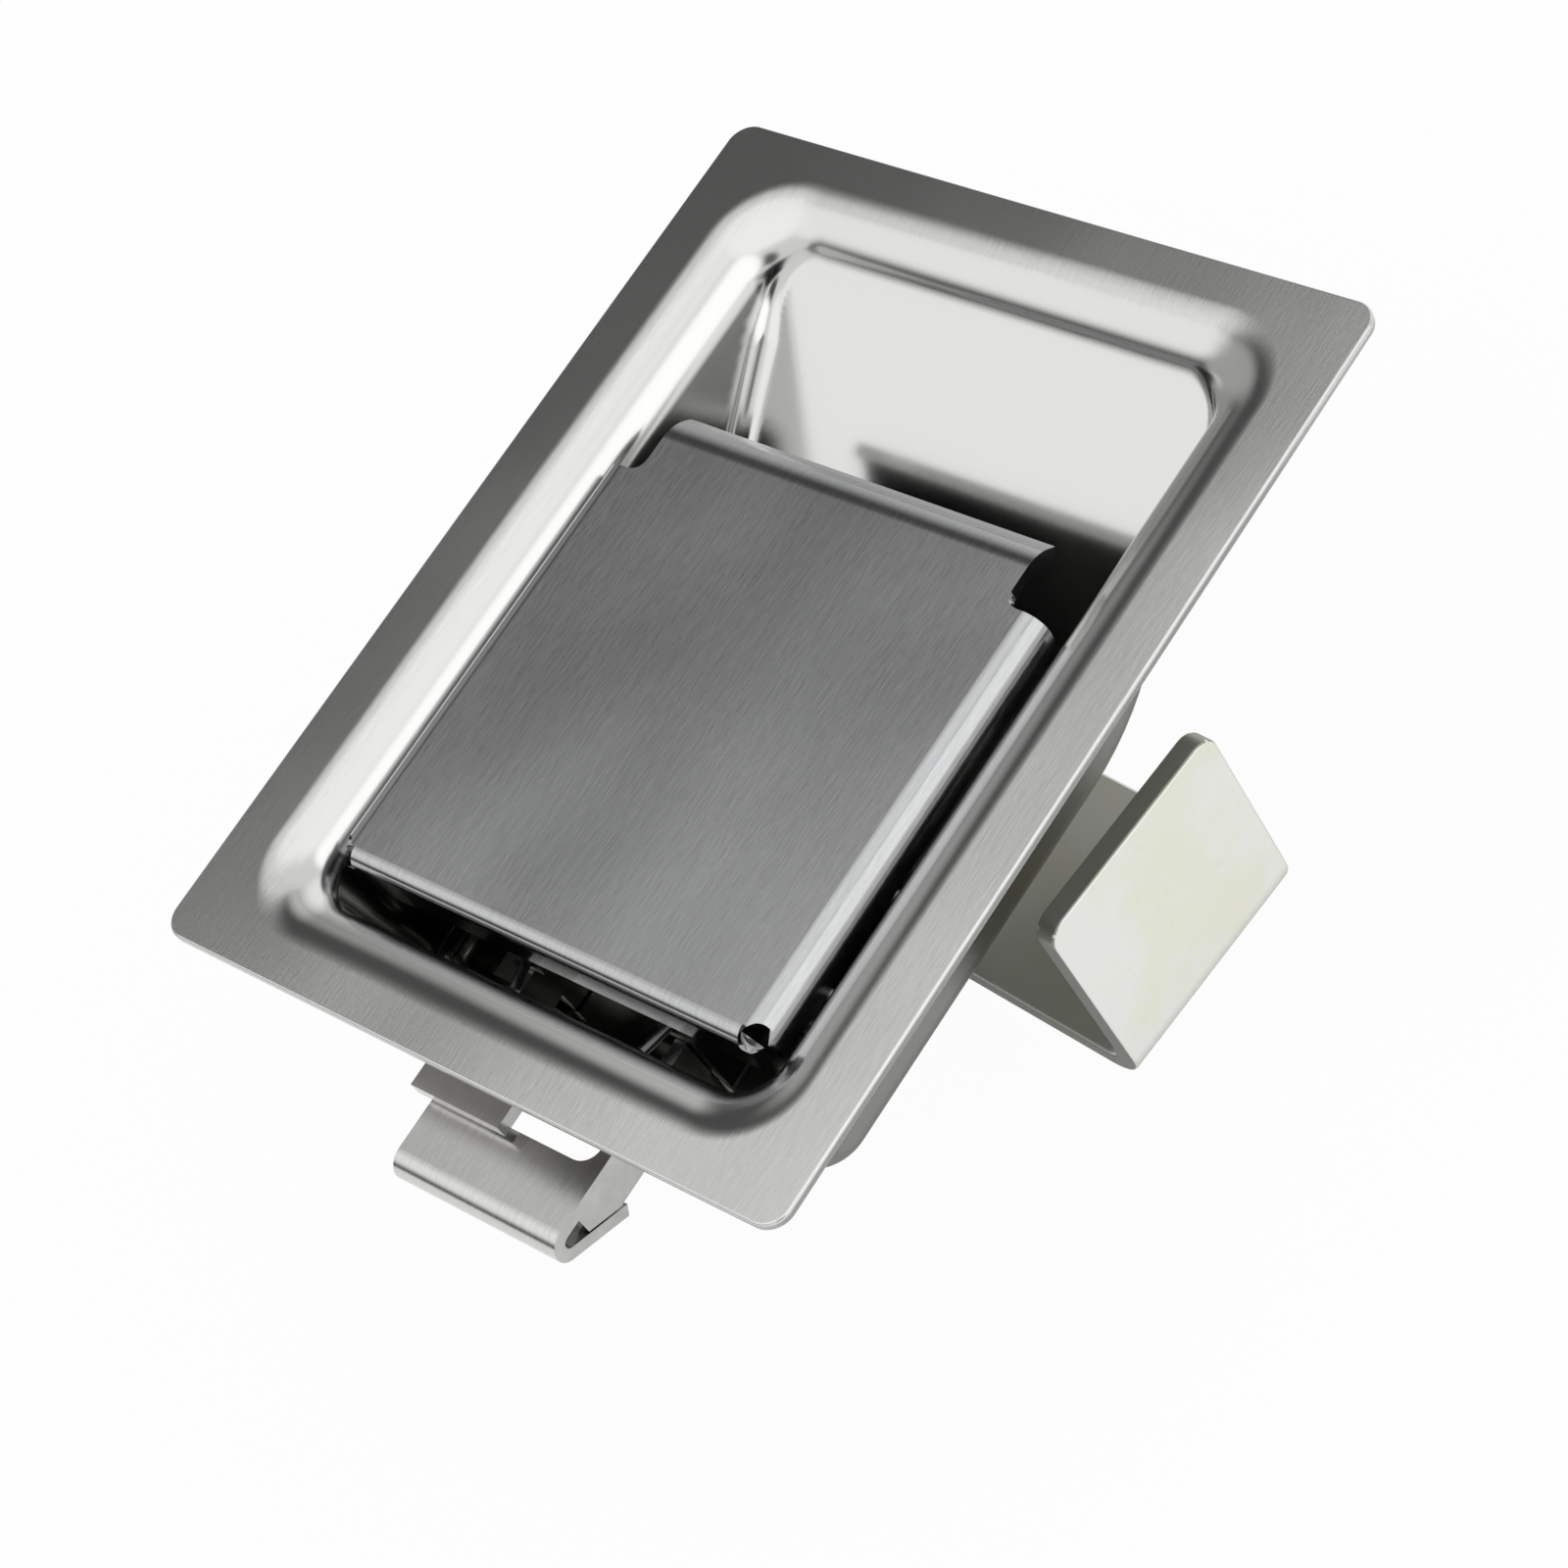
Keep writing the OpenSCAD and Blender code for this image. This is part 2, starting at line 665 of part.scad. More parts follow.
module clamp_bracket() {
    half = yoke_span / 2;
    ro = yoke_t + 2.2;
    ri = ro - yoke_t;
    tip = 2.5;
    top = -yoke_z + leg_h;
    color("ivory") on_stud() difference() {
        along_y(-yoke_w / 2, yoke_w / 2)
            translate([-half, top]) rotate(-90)
                bent_strip([[leg_h - ro, 90, ri], [2 * (half - ro), 90, ri], [leg_h - ro, 0, 0]], yoke_t);
        translate([0, 0, -yoke_z - 1]) cylinder(d = stud_d + 2 * stud_gap, h = yoke_t + 2);
        // rounded front corners of the legs
        for (j = [-1, 1])
            difference() {
                box([-half - 1, j * (yoke_w / 2 - tip / 2) - tip / 2 - 0.5 + j * 0.5, top - tip],
                    [half + 1, j * (yoke_w / 2 - tip / 2) + tip / 2 + 0.5 + j * 0.5, top + 1]);
                rod_x(-half - 2, half + 2, j * (yoke_w / 2 - tip), top - tip, 2 * tip);
            }
    }
}

module flat_washer() {
    color("lightgray") on_stud() translate([0, 0, washer_z]) difference() {
        cylinder(d = 2 * stud_d + 0.5, h = washer_t);
        translate([0, 0, -1]) cylinder(d = stud_d + 2 * stud_gap, h = washer_t + 2);
    }
}

module lock_washer() {
    color("lightgray") on_stud() translate([0, 0, lock_z]) difference() {
        cylinder(d = 1.7 * stud_d, h = lock_t);
        translate([0, 0, -1]) cylinder(d = stud_d + 2 * stud_gap, h = lock_t + 2);
        rotate([0, 0, 130]) translate([0, -0.35, -1]) cube([stud_d, 0.7, lock_t + 2]);
    }
}

module hex_nut() {
    across = stud_d * 10 / 6;
    color("lightgray") on_stud() translate([0, 0, nut_z]) difference() {
        intersection() {
            cylinder(d = across / cos(30), h = nut_t, $fn = 6);
            union() {
                cylinder(d1 = across * 0.95, d2 = across * 1.25, h = nut_t / 2);
                translate([0, 0, nut_t / 2]) cylinder(d1 = across * 1.25, d2 = across * 0.95, h = nut_t / 2);
            }
        }
        translate([0, 0, -1]) cylinder(d = stud_d + 2 * thread_gap, h = nut_t + 2);
    }
}

dish();
mounting_stud();
bolt_rail_left();
bolt_rail_right();
rail_rivets();
spring_seat();
seat_rivets();
spring_rods();
end_guide();
guide_rivets();
pivot_pin();
pin_clip();
paddle();
trip_lever();
slam_bolt();
bolt_spring_left();
bolt_spring_right();
paddle_spring_left();
paddle_spring_right();
clamp_bracket();
flat_washer();
lock_washer();
hex_nut();
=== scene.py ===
"""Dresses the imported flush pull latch: drawn and brushed steel, a plated yoke and a white studio."""

import math

import bmesh
import bpy
import numpy as np
from mathutils import Matrix, Vector


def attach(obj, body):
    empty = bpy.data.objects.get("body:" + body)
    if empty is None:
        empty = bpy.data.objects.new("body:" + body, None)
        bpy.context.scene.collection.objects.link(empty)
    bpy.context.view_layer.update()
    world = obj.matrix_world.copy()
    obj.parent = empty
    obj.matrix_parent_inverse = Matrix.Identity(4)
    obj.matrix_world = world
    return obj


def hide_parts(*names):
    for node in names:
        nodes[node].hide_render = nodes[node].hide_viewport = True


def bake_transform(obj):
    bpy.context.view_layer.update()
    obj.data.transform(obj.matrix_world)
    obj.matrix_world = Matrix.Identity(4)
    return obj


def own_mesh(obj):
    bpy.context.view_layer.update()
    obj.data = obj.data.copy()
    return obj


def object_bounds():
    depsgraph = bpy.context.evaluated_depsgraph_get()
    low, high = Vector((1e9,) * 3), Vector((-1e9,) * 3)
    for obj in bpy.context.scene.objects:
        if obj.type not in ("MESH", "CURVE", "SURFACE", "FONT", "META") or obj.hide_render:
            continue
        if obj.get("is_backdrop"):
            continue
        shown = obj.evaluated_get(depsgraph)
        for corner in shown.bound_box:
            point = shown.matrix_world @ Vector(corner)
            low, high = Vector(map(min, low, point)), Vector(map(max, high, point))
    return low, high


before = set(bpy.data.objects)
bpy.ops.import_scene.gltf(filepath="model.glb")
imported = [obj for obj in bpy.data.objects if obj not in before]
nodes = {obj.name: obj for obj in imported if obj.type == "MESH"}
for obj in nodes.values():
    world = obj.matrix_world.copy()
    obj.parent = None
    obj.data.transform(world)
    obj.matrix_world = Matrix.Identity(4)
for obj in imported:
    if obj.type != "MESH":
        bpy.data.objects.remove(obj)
cad_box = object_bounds()
MM = 0.001

# Dish sizes, in millimetres like all sizes below
FLANGE = (85.0, 110.0)
FLANGE_R = 2.8
EDGE_BREAK = 0.28
SHEET = 1.2
RIM_R = 5.0
ROLL_START = (35.3, 48.7)
ROLL_SPREAD = 1.7
ROLL_CORNER_R = 9.6
WALL_CORNER_R = 5.9
LATCH_CORNER_R = 4.6
DRAFT = math.radians(5)
FLOOR_Z = -22.5
SCOOP_A = math.radians(31.9)
SCOOP_Z = -2.6
SCOOP_LAP = 1.0
SCOOP_BLEND = 3.0
CREASE_Y = (35.0, 44.0)
CREASE_R = (2.8, 0.5)
SLOT_HALF = 11.9
SLOT_Z = (-12.6, -19.5)
END_WALL_Y = -38.0
ROLL_Z = SHEET - RIM_R
ARC_END = math.pi / 2 - DRAFT
ROLL_W = RIM_R * math.sin(ARC_END)
WALL_TOP = ROLL_Z + RIM_R * math.cos(ARC_END)
FOOT_Y = ROLL_START[1] - ROLL_W
RIM_HALF = tuple(half + ROLL_SPREAD for half in ROLL_START)
RIM_RUN = ROLL_W + ROLL_SPREAD
RIM_DROP = SHEET - WALL_TOP
SPINE_Y = RIM_HALF[1] - RIM_HALF[0]

# Dish mesh: stations along its outline, rows from the rim to the middle, rays that find the rows
CORNER_STATIONS = 22
SIDE_STATIONS = 40
END_STATIONS = 26
SLOT_STATIONS = (5, 14, 5)
FAR_END = 3
LATCH_END = 7
EDGE_ROWS = 9
ROWS = 84
ROW_LENGTH = 1.9
ROW_BEND = math.radians(6.5)
EVEN_REACH = 8
EVEN_WIDTH = 4.0
RAY_TOP = 14.0
RAY_LENGTH = 70.0
RAY_SAMPLES = 600
RAY_HALVINGS = 42

# Bolt, springs and paddle
PIN = (-31.619, -7.0)
SEAT_Y = -8.819
DRIVE_Y = -32.819
LIP_Z = -11.55
LEVER_Z = -1.3
BOLT_HALF = 11.4
BOLT_T = 1.5
BOLT_FRONT = -13.0
WINDOW_Y = -56.0
WINDOW_R = 2.2
WINDOW_LIP = 1.9
SPRING_X = 6.6
SPRING_Z = -17.7
SPRING_R = 2.55
SPRING_WIRE = 0.9
SPRING_TURNS = 9
SPRING_CLOSED = SPRING_WIRE * 1.03
COIL_X = 11.2
COIL_R = 3.4
COIL_WIRE = 1.2
COIL_TURNS = 3.5
COIL_PITCH = COIL_WIRE * 1.08
COIL_OUT = COIL_X + COIL_PITCH * COIL_TURNS
TURN_STEPS = 40
WIRE_SIDES = 14

# Rivets, stud and yoke
RAIL_T = 1.2
RIVET_D = 3.0
RIVET_TAIL = 0.8
RIVET_RISE = 0.9
RAIL_RIVET_X = 17.2
RAIL_RIVET_YS = (-33.02, -14.82)
SEAT_RIVET_X = 6.5
SEAT_RIVET_BACK = 6.2
GUIDE_T = 1.2
GUIDE_RIVET_D = 2.5
GUIDE_RIVET_TAIL = 0.35
GUIDE_RIVET_Z = -8.0
GUIDE_RIVET_XS = (-9.8, -3.2)
STUD_Y = 3.8
STUD_D = 6.0
STUD_PITCH = 1.0
STUD_TOP = -24.9
STUD_NECK = 2.0
STUD_END = -55.0
STUD_CHAMFER = 0.8
COLLAR_W = 1.5
COLLAR_T = 1.2
COLLAR_BREAK = 0.1
YOKE_TURN = -5.8
YOKE_TIP_Z = -20.0

# Meeting of points, in metres, and angles that make an edge
MERGE = 4e-6
SLIVER = 1e-7
FLAT_ANGLE = math.radians(0.4)
BROKEN_ANGLE = math.radians(32)
SHARP_ANGLE = math.radians(50)
RIVET_ANGLE = math.radians(40)

# Finishes: brush lines and sheet waves, then where the dish changes its finish, and the painted shade: deep
# in the recess under the paddle, on the dish's back and on the yoke's shaded faces
BRUSH = (0.11, 1.9)
BRUSH_DEPTH = 0.006
SHEET_WAVE = 0.3
HOLLOW_AT = 25.0
FLAT_Z = (0.3, 1.15)
SATIN_ROLL = (-5.0, -2.0)
# Painted shade: the recess is darkened deep down and towards the latch end, under the paddle
PAINTED_SHADE_DEPTH = (4.5, 11.0)
PAINTED_SHADE_END = (4.0, 16.0)
STAINLESS = (0.70, 0.70, 0.685, 1)
# Painted shade on the dish's back, which faces down away from the lights: the same steel in a darker colour
BACK_PAINTED_SHADE = (0.30, 0.295, 0.28, 1)
PAINTED_SHADE_TONE = (0.25, 0.245, 0.225, 1)
# The yoke's marked faces: darker as bare sheared metal, and as painted shade on the leg tops under the
# flange
SHEARED_AND_SHADED_TONE = (0.23, 0.23, 0.21, 1)

# Studio floor, with how white it is to the camera and how bright below and beside the part in the metal; the
# dim glow below the part is a painted shadow
FLOOR_LEVEL = -55.0
FLOOR_HALF = 3000.0
FLOOR_FADE = (-6.0, 14.0)
FLOOR_WHITE = 0.96
FLOOR_UNDER = 0.1
FLOOR_BESIDE = 0.75

# Studio lights: direction, cosines where the light begins and where it is full, strength
DOME = (0.452, -0.243, 0.859)
DOME_LIGHTS = ((DOME, 0.295, 0.35, 0.60), (DOME, 0.20, 0.28, 0.15))
DOME_GAP = ((0.75, -0.50, 0.43), 0.94, 0.99, 1.0)
OVERHEAD = ((0, -0.115, 0.993), 0.78, 0.9, 0.35)
SIDE_LIGHTS = (
    ((0.80, 0.25, 0.54), 0.77, 0.93, 1.35),
    ((0.0, 0.98, 0.10), 0.62, 0.95, 1.0),
    ((-0.47, -0.52, 0.71), 0.80, 0.97, 1.0),
    ((-0.90, -0.10, 0.30), 0.84, 0.95, 0.35),
)
AMBIENT = 0.085

# The photographer's camera, solved from the flange's four corners
CAMERA_AT = (258.244, -124.539, 314.591)
CAMERA_AXES = (
    (0.74496, 0.54128, -0.38993),
    (-0.30748, 0.79732, 0.51936),
    (0.59202, -0.26701, 0.76041),
)
FOCAL_PIXELS = 4313.25
PHOTO_WIDTH = 1600
SENSOR = 36


# Shader writing


class Value:
    """A shader socket that takes part in Python arithmetic: each operation adds one node."""

    def __init__(self, tree, socket):
        self.tree = tree
        self.socket = socket

    def _math(self, operation, *values):
        return self.tree.add("ShaderNodeMath", {"operation": operation}, dict(enumerate(values)))

    def __add__(self, other):
        return self._math("ADD", self, other)

    def __sub__(self, other):
        return self._math("SUBTRACT", self, other)

    def __rsub__(self, other):
        return self._math("SUBTRACT", other, self)

    def __mul__(self, other):
        return self._math("MULTIPLY", self, other)

    def __abs__(self):
        return self._math("ABSOLUTE", self)

    def at_least(self, other):
        return self._math("MAXIMUM", self, other)

    def step(self, low, high):
        """0 below low, 1 above high, smooth between."""
        inputs = {"Value": self, "From Min": low, "From Max": high}
        return self.tree.add("ShaderNodeMapRange", {"interpolation_type": "SMOOTHSTEP"}, inputs)

    __radd__ = __add__
    __rmul__ = __mul__


class Tree:
    """A node tree that is written as expressions."""

    def __init__(self, tree):
        self.tree = tree
        tree.nodes.clear()

    def add(self, kind, settings=None, inputs=None, output=0):
        """A new node with its settings and inputs, as the value of one of its outputs."""
        node = self.tree.nodes.new(kind)
        for name, value in (settings or {}).items():
            setattr(node, name, value)
        for name, value in (inputs or {}).items():
            if isinstance(value, Value):
                self.tree.links.new(value.socket, node.inputs[name])
            else:
                node.inputs[name].default_value = value
        return Value(self, node.outputs[output]) if node.outputs else None

    def coordinates(self, scale=(1, 1, 1)):
        """Object coordinates in millimetres, scaled."""
        here = self.add("ShaderNodeTexCoord", output="Object")
        inputs = {"Vector": here, "Scale": tuple(s / MM for s in scale)}
        return self.add("ShaderNodeMapping", {"vector_type": "POINT"}, inputs)

    def axes(self):
        """X, Y and Z in millimetres."""
        split = self.tree.nodes.new("ShaderNodeSeparateXYZ")
        self.tree.links.new(self.coordinates().socket, split.inputs[0])
        return [Value(self, socket) for socket in split.outputs]

    def noise(self, scale, detail=2.0, rough=0.5):
        """Noise with so many cells to the millimetre along each axis."""
        inputs = {"Vector": self.coordinates(scale), "Scale": 1.0, "Detail": detail, "Roughness": rough}
        return self.add("ShaderNodeTexNoise", None, inputs)

    def attribute(self, name):
        return self.add("ShaderNodeAttribute", {"attribute_name": name}, output="Fac")

    def mix(self, factor, a, b):
        inputs = {0: factor, 6: a, 7: b}
        return self.add("ShaderNodeMix", {"data_type": "RGBA"}, inputs, output=2)

    def bump(self, height, strength=1.0, distance=1.0):
        inputs = {"Height": height, "Strength": strength, "Distance": distance}
        return self.add("ShaderNodeBump", None, inputs)


def shader(name):
    material = bpy.data.materials.new(name)
    material.use_nodes = True
    return material, Tree(material.node_tree)


def metal(tree, colour, roughness, normal, metallic=1.0):
    inputs = {"Base Color": colour, "Metallic": metallic, "Roughness": roughness, "Normal": normal}
    surface = tree.add("ShaderNodeBsdfPrincipled", None, inputs)
    tree.add("ShaderNodeOutputMaterial", None, {"Surface": surface})


def darker(colour, share):
    return tuple(c * share for c in colour[:3]) + (1,)


def grain(tree, width, length):
    """Fine brush lines along Y: long along the stroke, narrow across it."""
    fine = tree.noise((1 / width, 1 / length, 1 / length), 4.0, 0.7)
    broad = tree.noise((0.3 / width, 0.5 / length, 0.5 / length))
    return fine * 0.7 + broad * 0.3


def brushed_height(tree, lines):
    """Height in metres of brush lines on pressed sheet, which is never quite flat."""
    waves = tree.noise((0.028, 0.028, 0.028), 1.0, 0.4)
    return lines * (BRUSH_DEPTH * MM) + waves * (SHEET_WAVE * MM)


def brushed_stainless(name, colour, roughness, hollow=0.0):
    """Brushed sheet, hollowed across X by that depth at HOLLOW_AT from the middle."""
    material, tree = shader(name)
    x = tree.axes()[0]
    lines = grain(tree, *BRUSH)
    cloud = tree.noise((0.06, 0.03, 0.06))
    tone = tree.mix(lines.step(0.3, 0.7), darker(colour, 0.86), colour)
    rough = roughness + (lines - 0.5) * 0.16 + (cloud - 0.5) * 0.04
    height = brushed_height(tree, lines) + x * x * (hollow * MM / HOLLOW_AT**2)
    metal(tree, tone, rough, tree.bump(height))
    return material


def dish_stainless(colour):
    """Brushed on the flange, polished in the recess by the drawing tool and duller behind, with painted
    shade darkening it deep under the paddle and on its back.
    """
    material, tree = shader("dish_stainless")
    _, y, z = tree.axes()
    behind = tree.attribute("outside")
    # Painted shade deep in the recess, under the paddle
    painted_shade = (0 - z).step(*PAINTED_SHADE_DEPTH) * (1 - y.step(*PAINTED_SHADE_END)) * (1 - behind)
    flat = z.step(*FLAT_Z) * (1 - behind)
    lines = grain(tree, *BRUSH)
    draw_marks = tree.noise((0.35, 0.35, 0.05), 3.0)
    cloud = tree.noise((0.05, 0.05, 0.05))
    tone = tree.mix(lines.step(0.3, 0.7) * flat, colour, darker(colour, 0.91))
    # Painted shade: the back is given a darker colour than the front
    tone = tree.mix(behind, tone, BACK_PAINTED_SHADE)
    tone = tree.mix(painted_shade, tone, PAINTED_SHADE_TONE)
    flat_rough = 0.125 + (lines - 0.5) * 0.14
    drawn_rough = 0.135 + z.step(*SATIN_ROLL) * 0.06 + (cloud - 0.5) * 0.06
    dull_rough = 0.34 + (draw_marks - 0.5) * 0.1
    rough = flat_rough * flat + (drawn_rough * (1 - behind) + dull_rough * behind) * (1 - flat)
    metal(tree, tone, rough, tree.bump(brushed_height(tree, lines) * flat))
    return material


def plain_sheet(name, colour, roughness):
    """Rolled sheet as it comes from the mill."""
    material, tree = shader(name)
    mill = grain(tree, 0.2, 5.0)
    cloud = tree.noise((0.2, 0.2, 0.2), 3.0)
    tone = tree.mix(cloud.step(0.35, 0.7), darker(colour, 0.86), colour)
    rough = roughness + (mill - 0.5) * 0.12 + (cloud - 0.5) * 0.1
    metal(tree, tone, rough, tree.bump(mill, 0.08, 0.04 * MM))
    return material


def turned_steel(name, colour, roughness):
    """Drawn or turned steel with a faint cloud."""
    material, tree = shader(name)
    cloud = tree.noise((0.8, 0.8, 0.8), 3.0)
    tone = tree.mix(cloud.step(0.3, 0.7), darker(colour, 0.85), colour)
    metal(tree, tone, roughness + (cloud - 0.5) * 0.15, tree.bump(cloud, 0.06, 0.05 * MM))
    return material


def zinc_plate(name, colour, tint, roughness, metallic=1.0):
    """Zinc plating with patches of tinted passivation, darker on the marked faces: thin plating on sheared
    edges, and painted shade on the yoke's leg tops, which sit in shade under the flange.
    """
    material, tree = shader(name)
    patches = tree.noise((0.09, 0.09, 0.09), 3.0, 0.6)
    specks = tree.noise((1.4, 1.4, 1.4))
    tone = tree.mix(patches.step(0.38, 0.66), colour, tint)
    tone = tree.mix(specks.step(0.62, 0.8) * 0.25, tone, darker(colour, 0.8))
    # Marked faces darken: partly bare sheared metal, partly painted shade
    tone = tree.mix(tree.attribute("sheared_and_shaded") * 0.8, tone, SHEARED_AND_SHADED_TONE)
    rough = roughness + (patches - 0.5) * 0.14 + (specks - 0.5) * 0.12
    normal = tree.bump(specks * 0.6 + patches * 0.4, 0.10, 0.08 * MM)
    metal(tree, tone, rough, normal, metallic)
    return material


MATERIALS = {
    "dish": dish_stainless(STAINLESS),
    "paddle": brushed_stainless("paddle_stainless", (0.525, 0.53, 0.535, 1), 0.14, 0.14),
    "bolt": brushed_stainless("bolt_stainless", (0.70, 0.695, 0.68, 1), 0.22),
    # The inner sheet parts are nearly black: a dark oiled steel, and painted shade for the gap under the
    # paddle where they sit
    "sheet": plain_sheet("inner_sheet_steel_and_shade", (0.13, 0.128, 0.12, 1), 0.42),
    "rivet": turned_steel("rivet_steel", (0.42, 0.42, 0.41, 1), 0.30),
    "spring": turned_steel("spring_wire", (0.16, 0.16, 0.165, 1), 0.28),
    "yoke": zinc_plate("yoke_zinc", (0.87, 0.88, 0.84, 1), (0.85, 0.86, 0.74, 1), 0.40, 0.88),
    "fastener": zinc_plate("fastener_zinc", (0.74, 0.75, 0.75, 1), (0.72, 0.73, 0.66, 1), 0.26),
}


# Shared piece making


def placed(name, data):
    """A new object in the scene."""
    item = bpy.data.objects.new(name, data)
    bpy.context.scene.collection.objects.link(item)
    return item


def evaluated(item):
    """An object's mesh as its modifiers leave it."""
    return bpy.data.meshes.new_from_object(item.evaluated_get(bpy.context.evaluated_depsgraph_get()))


def new_piece(name, mesh, finish, body, *replaced):
    """Puts a finished mesh in the scene on its body, in place of its CAD nodes."""
    piece = placed(name, mesh)
    mesh.materials.clear()
    mesh.materials.append(MATERIALS[finish])
    if body:
        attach(piece, body)
    if replaced:
        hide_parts(*replaced)
    return piece


def smooth(mesh):
    mesh.polygons.foreach_set("use_smooth", [True] * len(mesh.polygons))


def merged(mesh):
    """Joins the points of a mesh that meet, in place."""
    work = bmesh.new()
    work.from_mesh(mesh)
    bmesh.ops.remove_doubles(work, verts=work.verts, dist=MERGE)
    work.to_mesh(mesh)
    work.free()
    return mesh


def cleaned(mesh, merge):
    """Joins points that meet, drops slivers, turns the faces outward and shades them smooth, in place."""
    work = bmesh.new()
    work.from_mesh(mesh)
    bmesh.ops.remove_doubles(work, verts=work.verts, dist=merge)
    bmesh.ops.dissolve_degenerate(work, dist=SLIVER, edges=work.edges)
    bmesh.ops.recalc_face_normals(work, faces=work.faces)
    work.to_mesh(mesh)
    work.free()
    smooth(mesh)
    return mesh


def joined(mesh, extra):
    """One closed mesh of two that overlap."""
    pair = [placed("join", part) for part in (mesh, extra)]
    union = pair[0].modifiers.new("join", "BOOLEAN")
    union.operation = "UNION"
    union.solver = "EXACT"
    union.object = pair[1]
    result = evaluated(pair[0])
    for part in pair:
        bpy.data.objects.remove(part)
    return result


def soft_edges(node, width, finish, body, darkened_faces_along=None, extra=None):
    """A copy of a CAD node with its flat faces joined and its edges broken, as on tumbled metal."""
    mesh = merged(nodes[node].data.copy())
    if extra:
        mesh = merged(joined(mesh, extra))
    mesh.name = node + "_soft"
    work = bmesh.new()
    work.from_mesh(mesh)
    bmesh.ops.dissolve_limit(work, angle_limit=FLAT_ANGLE, verts=work.verts, edges=work.edges)
    edges = [e for e in work.edges if len(e.link_faces) == 2 and e.calc_face_angle() > BROKEN_ANGLE]
    bmesh.ops.bevel(
        work, geom=edges, offset=width * MM, offset_type="OFFSET", segments=2, profile=0.5, affect="EDGES",
        clamp_overlap=True,
    )
    work.to_mesh(mesh)
    work.free()
    smooth(mesh)
    mesh.set_sharp_from_angle(angle=SHARP_ANGLE)
    # Marks the faces to be painted darker: sheared sides, and faces that sit in shade, as painted shade
    if darkened_faces_along:
        cut = []
        for face in mesh.polygons:
            cut.append(any(abs(face.normal.dot(way)) > 0.7 for way in darkened_faces_along(face.center)))
        sheared_and_shaded = mesh.attributes.new("sheared_and_shaded", "FLOAT", "FACE")
        sheared_and_shaded.data.foreach_set("value", np.array(cut, float))
    piece = new_piece(node + "_piece", mesh, finish, body, node)
    piece.modifiers.new("even_shading", "WEIGHTED_NORMAL").keep_sharp = True
    return piece


# Dish


def round_max(a, b, radius):
    """The larger of two distances, with their corner filled by a radius."""
    both = np.hypot(np.maximum(a + radius, 0), np.maximum(b + radius, 0))
    return np.minimum(np.maximum(a, b), -radius) + both


def roll_ellipse():
    """Half axes of the quarter ellipse that leaves the flange flat and runs on into the drafted wall."""
    turn = ARC_END
    for _ in range(60):
        across = RIM_RUN / math.sin(turn)
        down = RIM_DROP / (1 - math.cos(turn))
        turn = math.atan(across / down / math.tan(DRAFT))
    return across, down


ROLL_ACROSS, ROLL_DOWN = roll_ellipse()


def wall_inset(z):
    """How far the recess's outline lies inside the rim at a height, and the sine of its lean there."""
    up = 1 - np.clip(SHEET - z, 0, RIM_DROP) / ROLL_DOWN
    side = np.sqrt(1 - up * up)
    lean = ROLL_DOWN * side / np.hypot(ROLL_ACROSS * up, ROLL_DOWN * side)
    return ROLL_ACROSS * side + np.maximum(WALL_TOP - z, 0) * math.tan(DRAFT), np.maximum(lean, 1e-3)


def recess_distance(p):
    """Distance from the recess's front surface: negative in the hollow, positive in the metal."""
    y, z = p[..., 1], p[..., 2]
    inset, lean = wall_inset(z)
    wall_corner = np.where(y < 0, LATCH_CORNER_R, WALL_CORNER_R)
    corner = ROLL_CORNER_R + (wall_corner - ROLL_CORNER_R) * np.minimum(inset / RIM_RUN, 1)
    ax = np.abs(p[..., 0]) - RIM_HALF[0] + inset + corner
    ay = np.abs(y) - RIM_HALF[1] + inset + corner
    beyond = np.hypot(np.maximum(ax, 0), np.maximum(ay, 0)) + np.minimum(np.maximum(ax, ay), 0) - corner
    run = np.minimum(y - FOOT_Y, SCOOP_LAP)
    scoop = (SCOOP_Z + run * math.tan(SCOOP_A) - z) * math.cos(SCOOP_A)
    lap = np.clip(SCOOP_BLEND - np.abs(FLOOR_Z - z - scoop), 0, None)
    base = np.maximum(FLOOR_Z - z, scoop) + lap * lap / (4 * SCOOP_BLEND)
    return round_max(beyond * lean, base, np.interp(y, CREASE_Y, CREASE_R))


def recess_normal(p):
    """Unit normal of the recess's front surface, pointing into the hollow."""
    h = 1e-5
    slope = np.stack(
        [recess_distance(p + h * e) - recess_distance(p - h * e) for e in np.eye(3)], axis=-1
    )
    return -slope / np.linalg.norm(slope, axis=-1, keepdims=True)


def rounded_outline(half_x, half_y, radius, stations):
    """Plan points of a rounded rectangle at the stations (part, fraction): corners even, straights odd."""
    cx, cy = half_x - radius, half_y - radius
    corners = [(cx, -cy, -90), (cx, cy, 0), (-cx, cy, 90), (-cx, -cy, 180)]
    points = []
    for part, t in stations:
        k = part // 2
        x, y, start = corners[k]
        if part % 2 == 0:
            angle = math.radians(start + 90 * t)
            points.append((x + radius * math.cos(angle), y + radius * math.sin(angle)))
        else:
            a = math.radians(start + 90)
            x2, y2, _ = corners[(k + 1) % 4]
            points.append((
                (x * (1 - t) + x2 * t) + radius * math.cos(a),
                (y * (1 - t) + y2 * t) + radius * math.sin(a),
            ))
    return np.array(points)


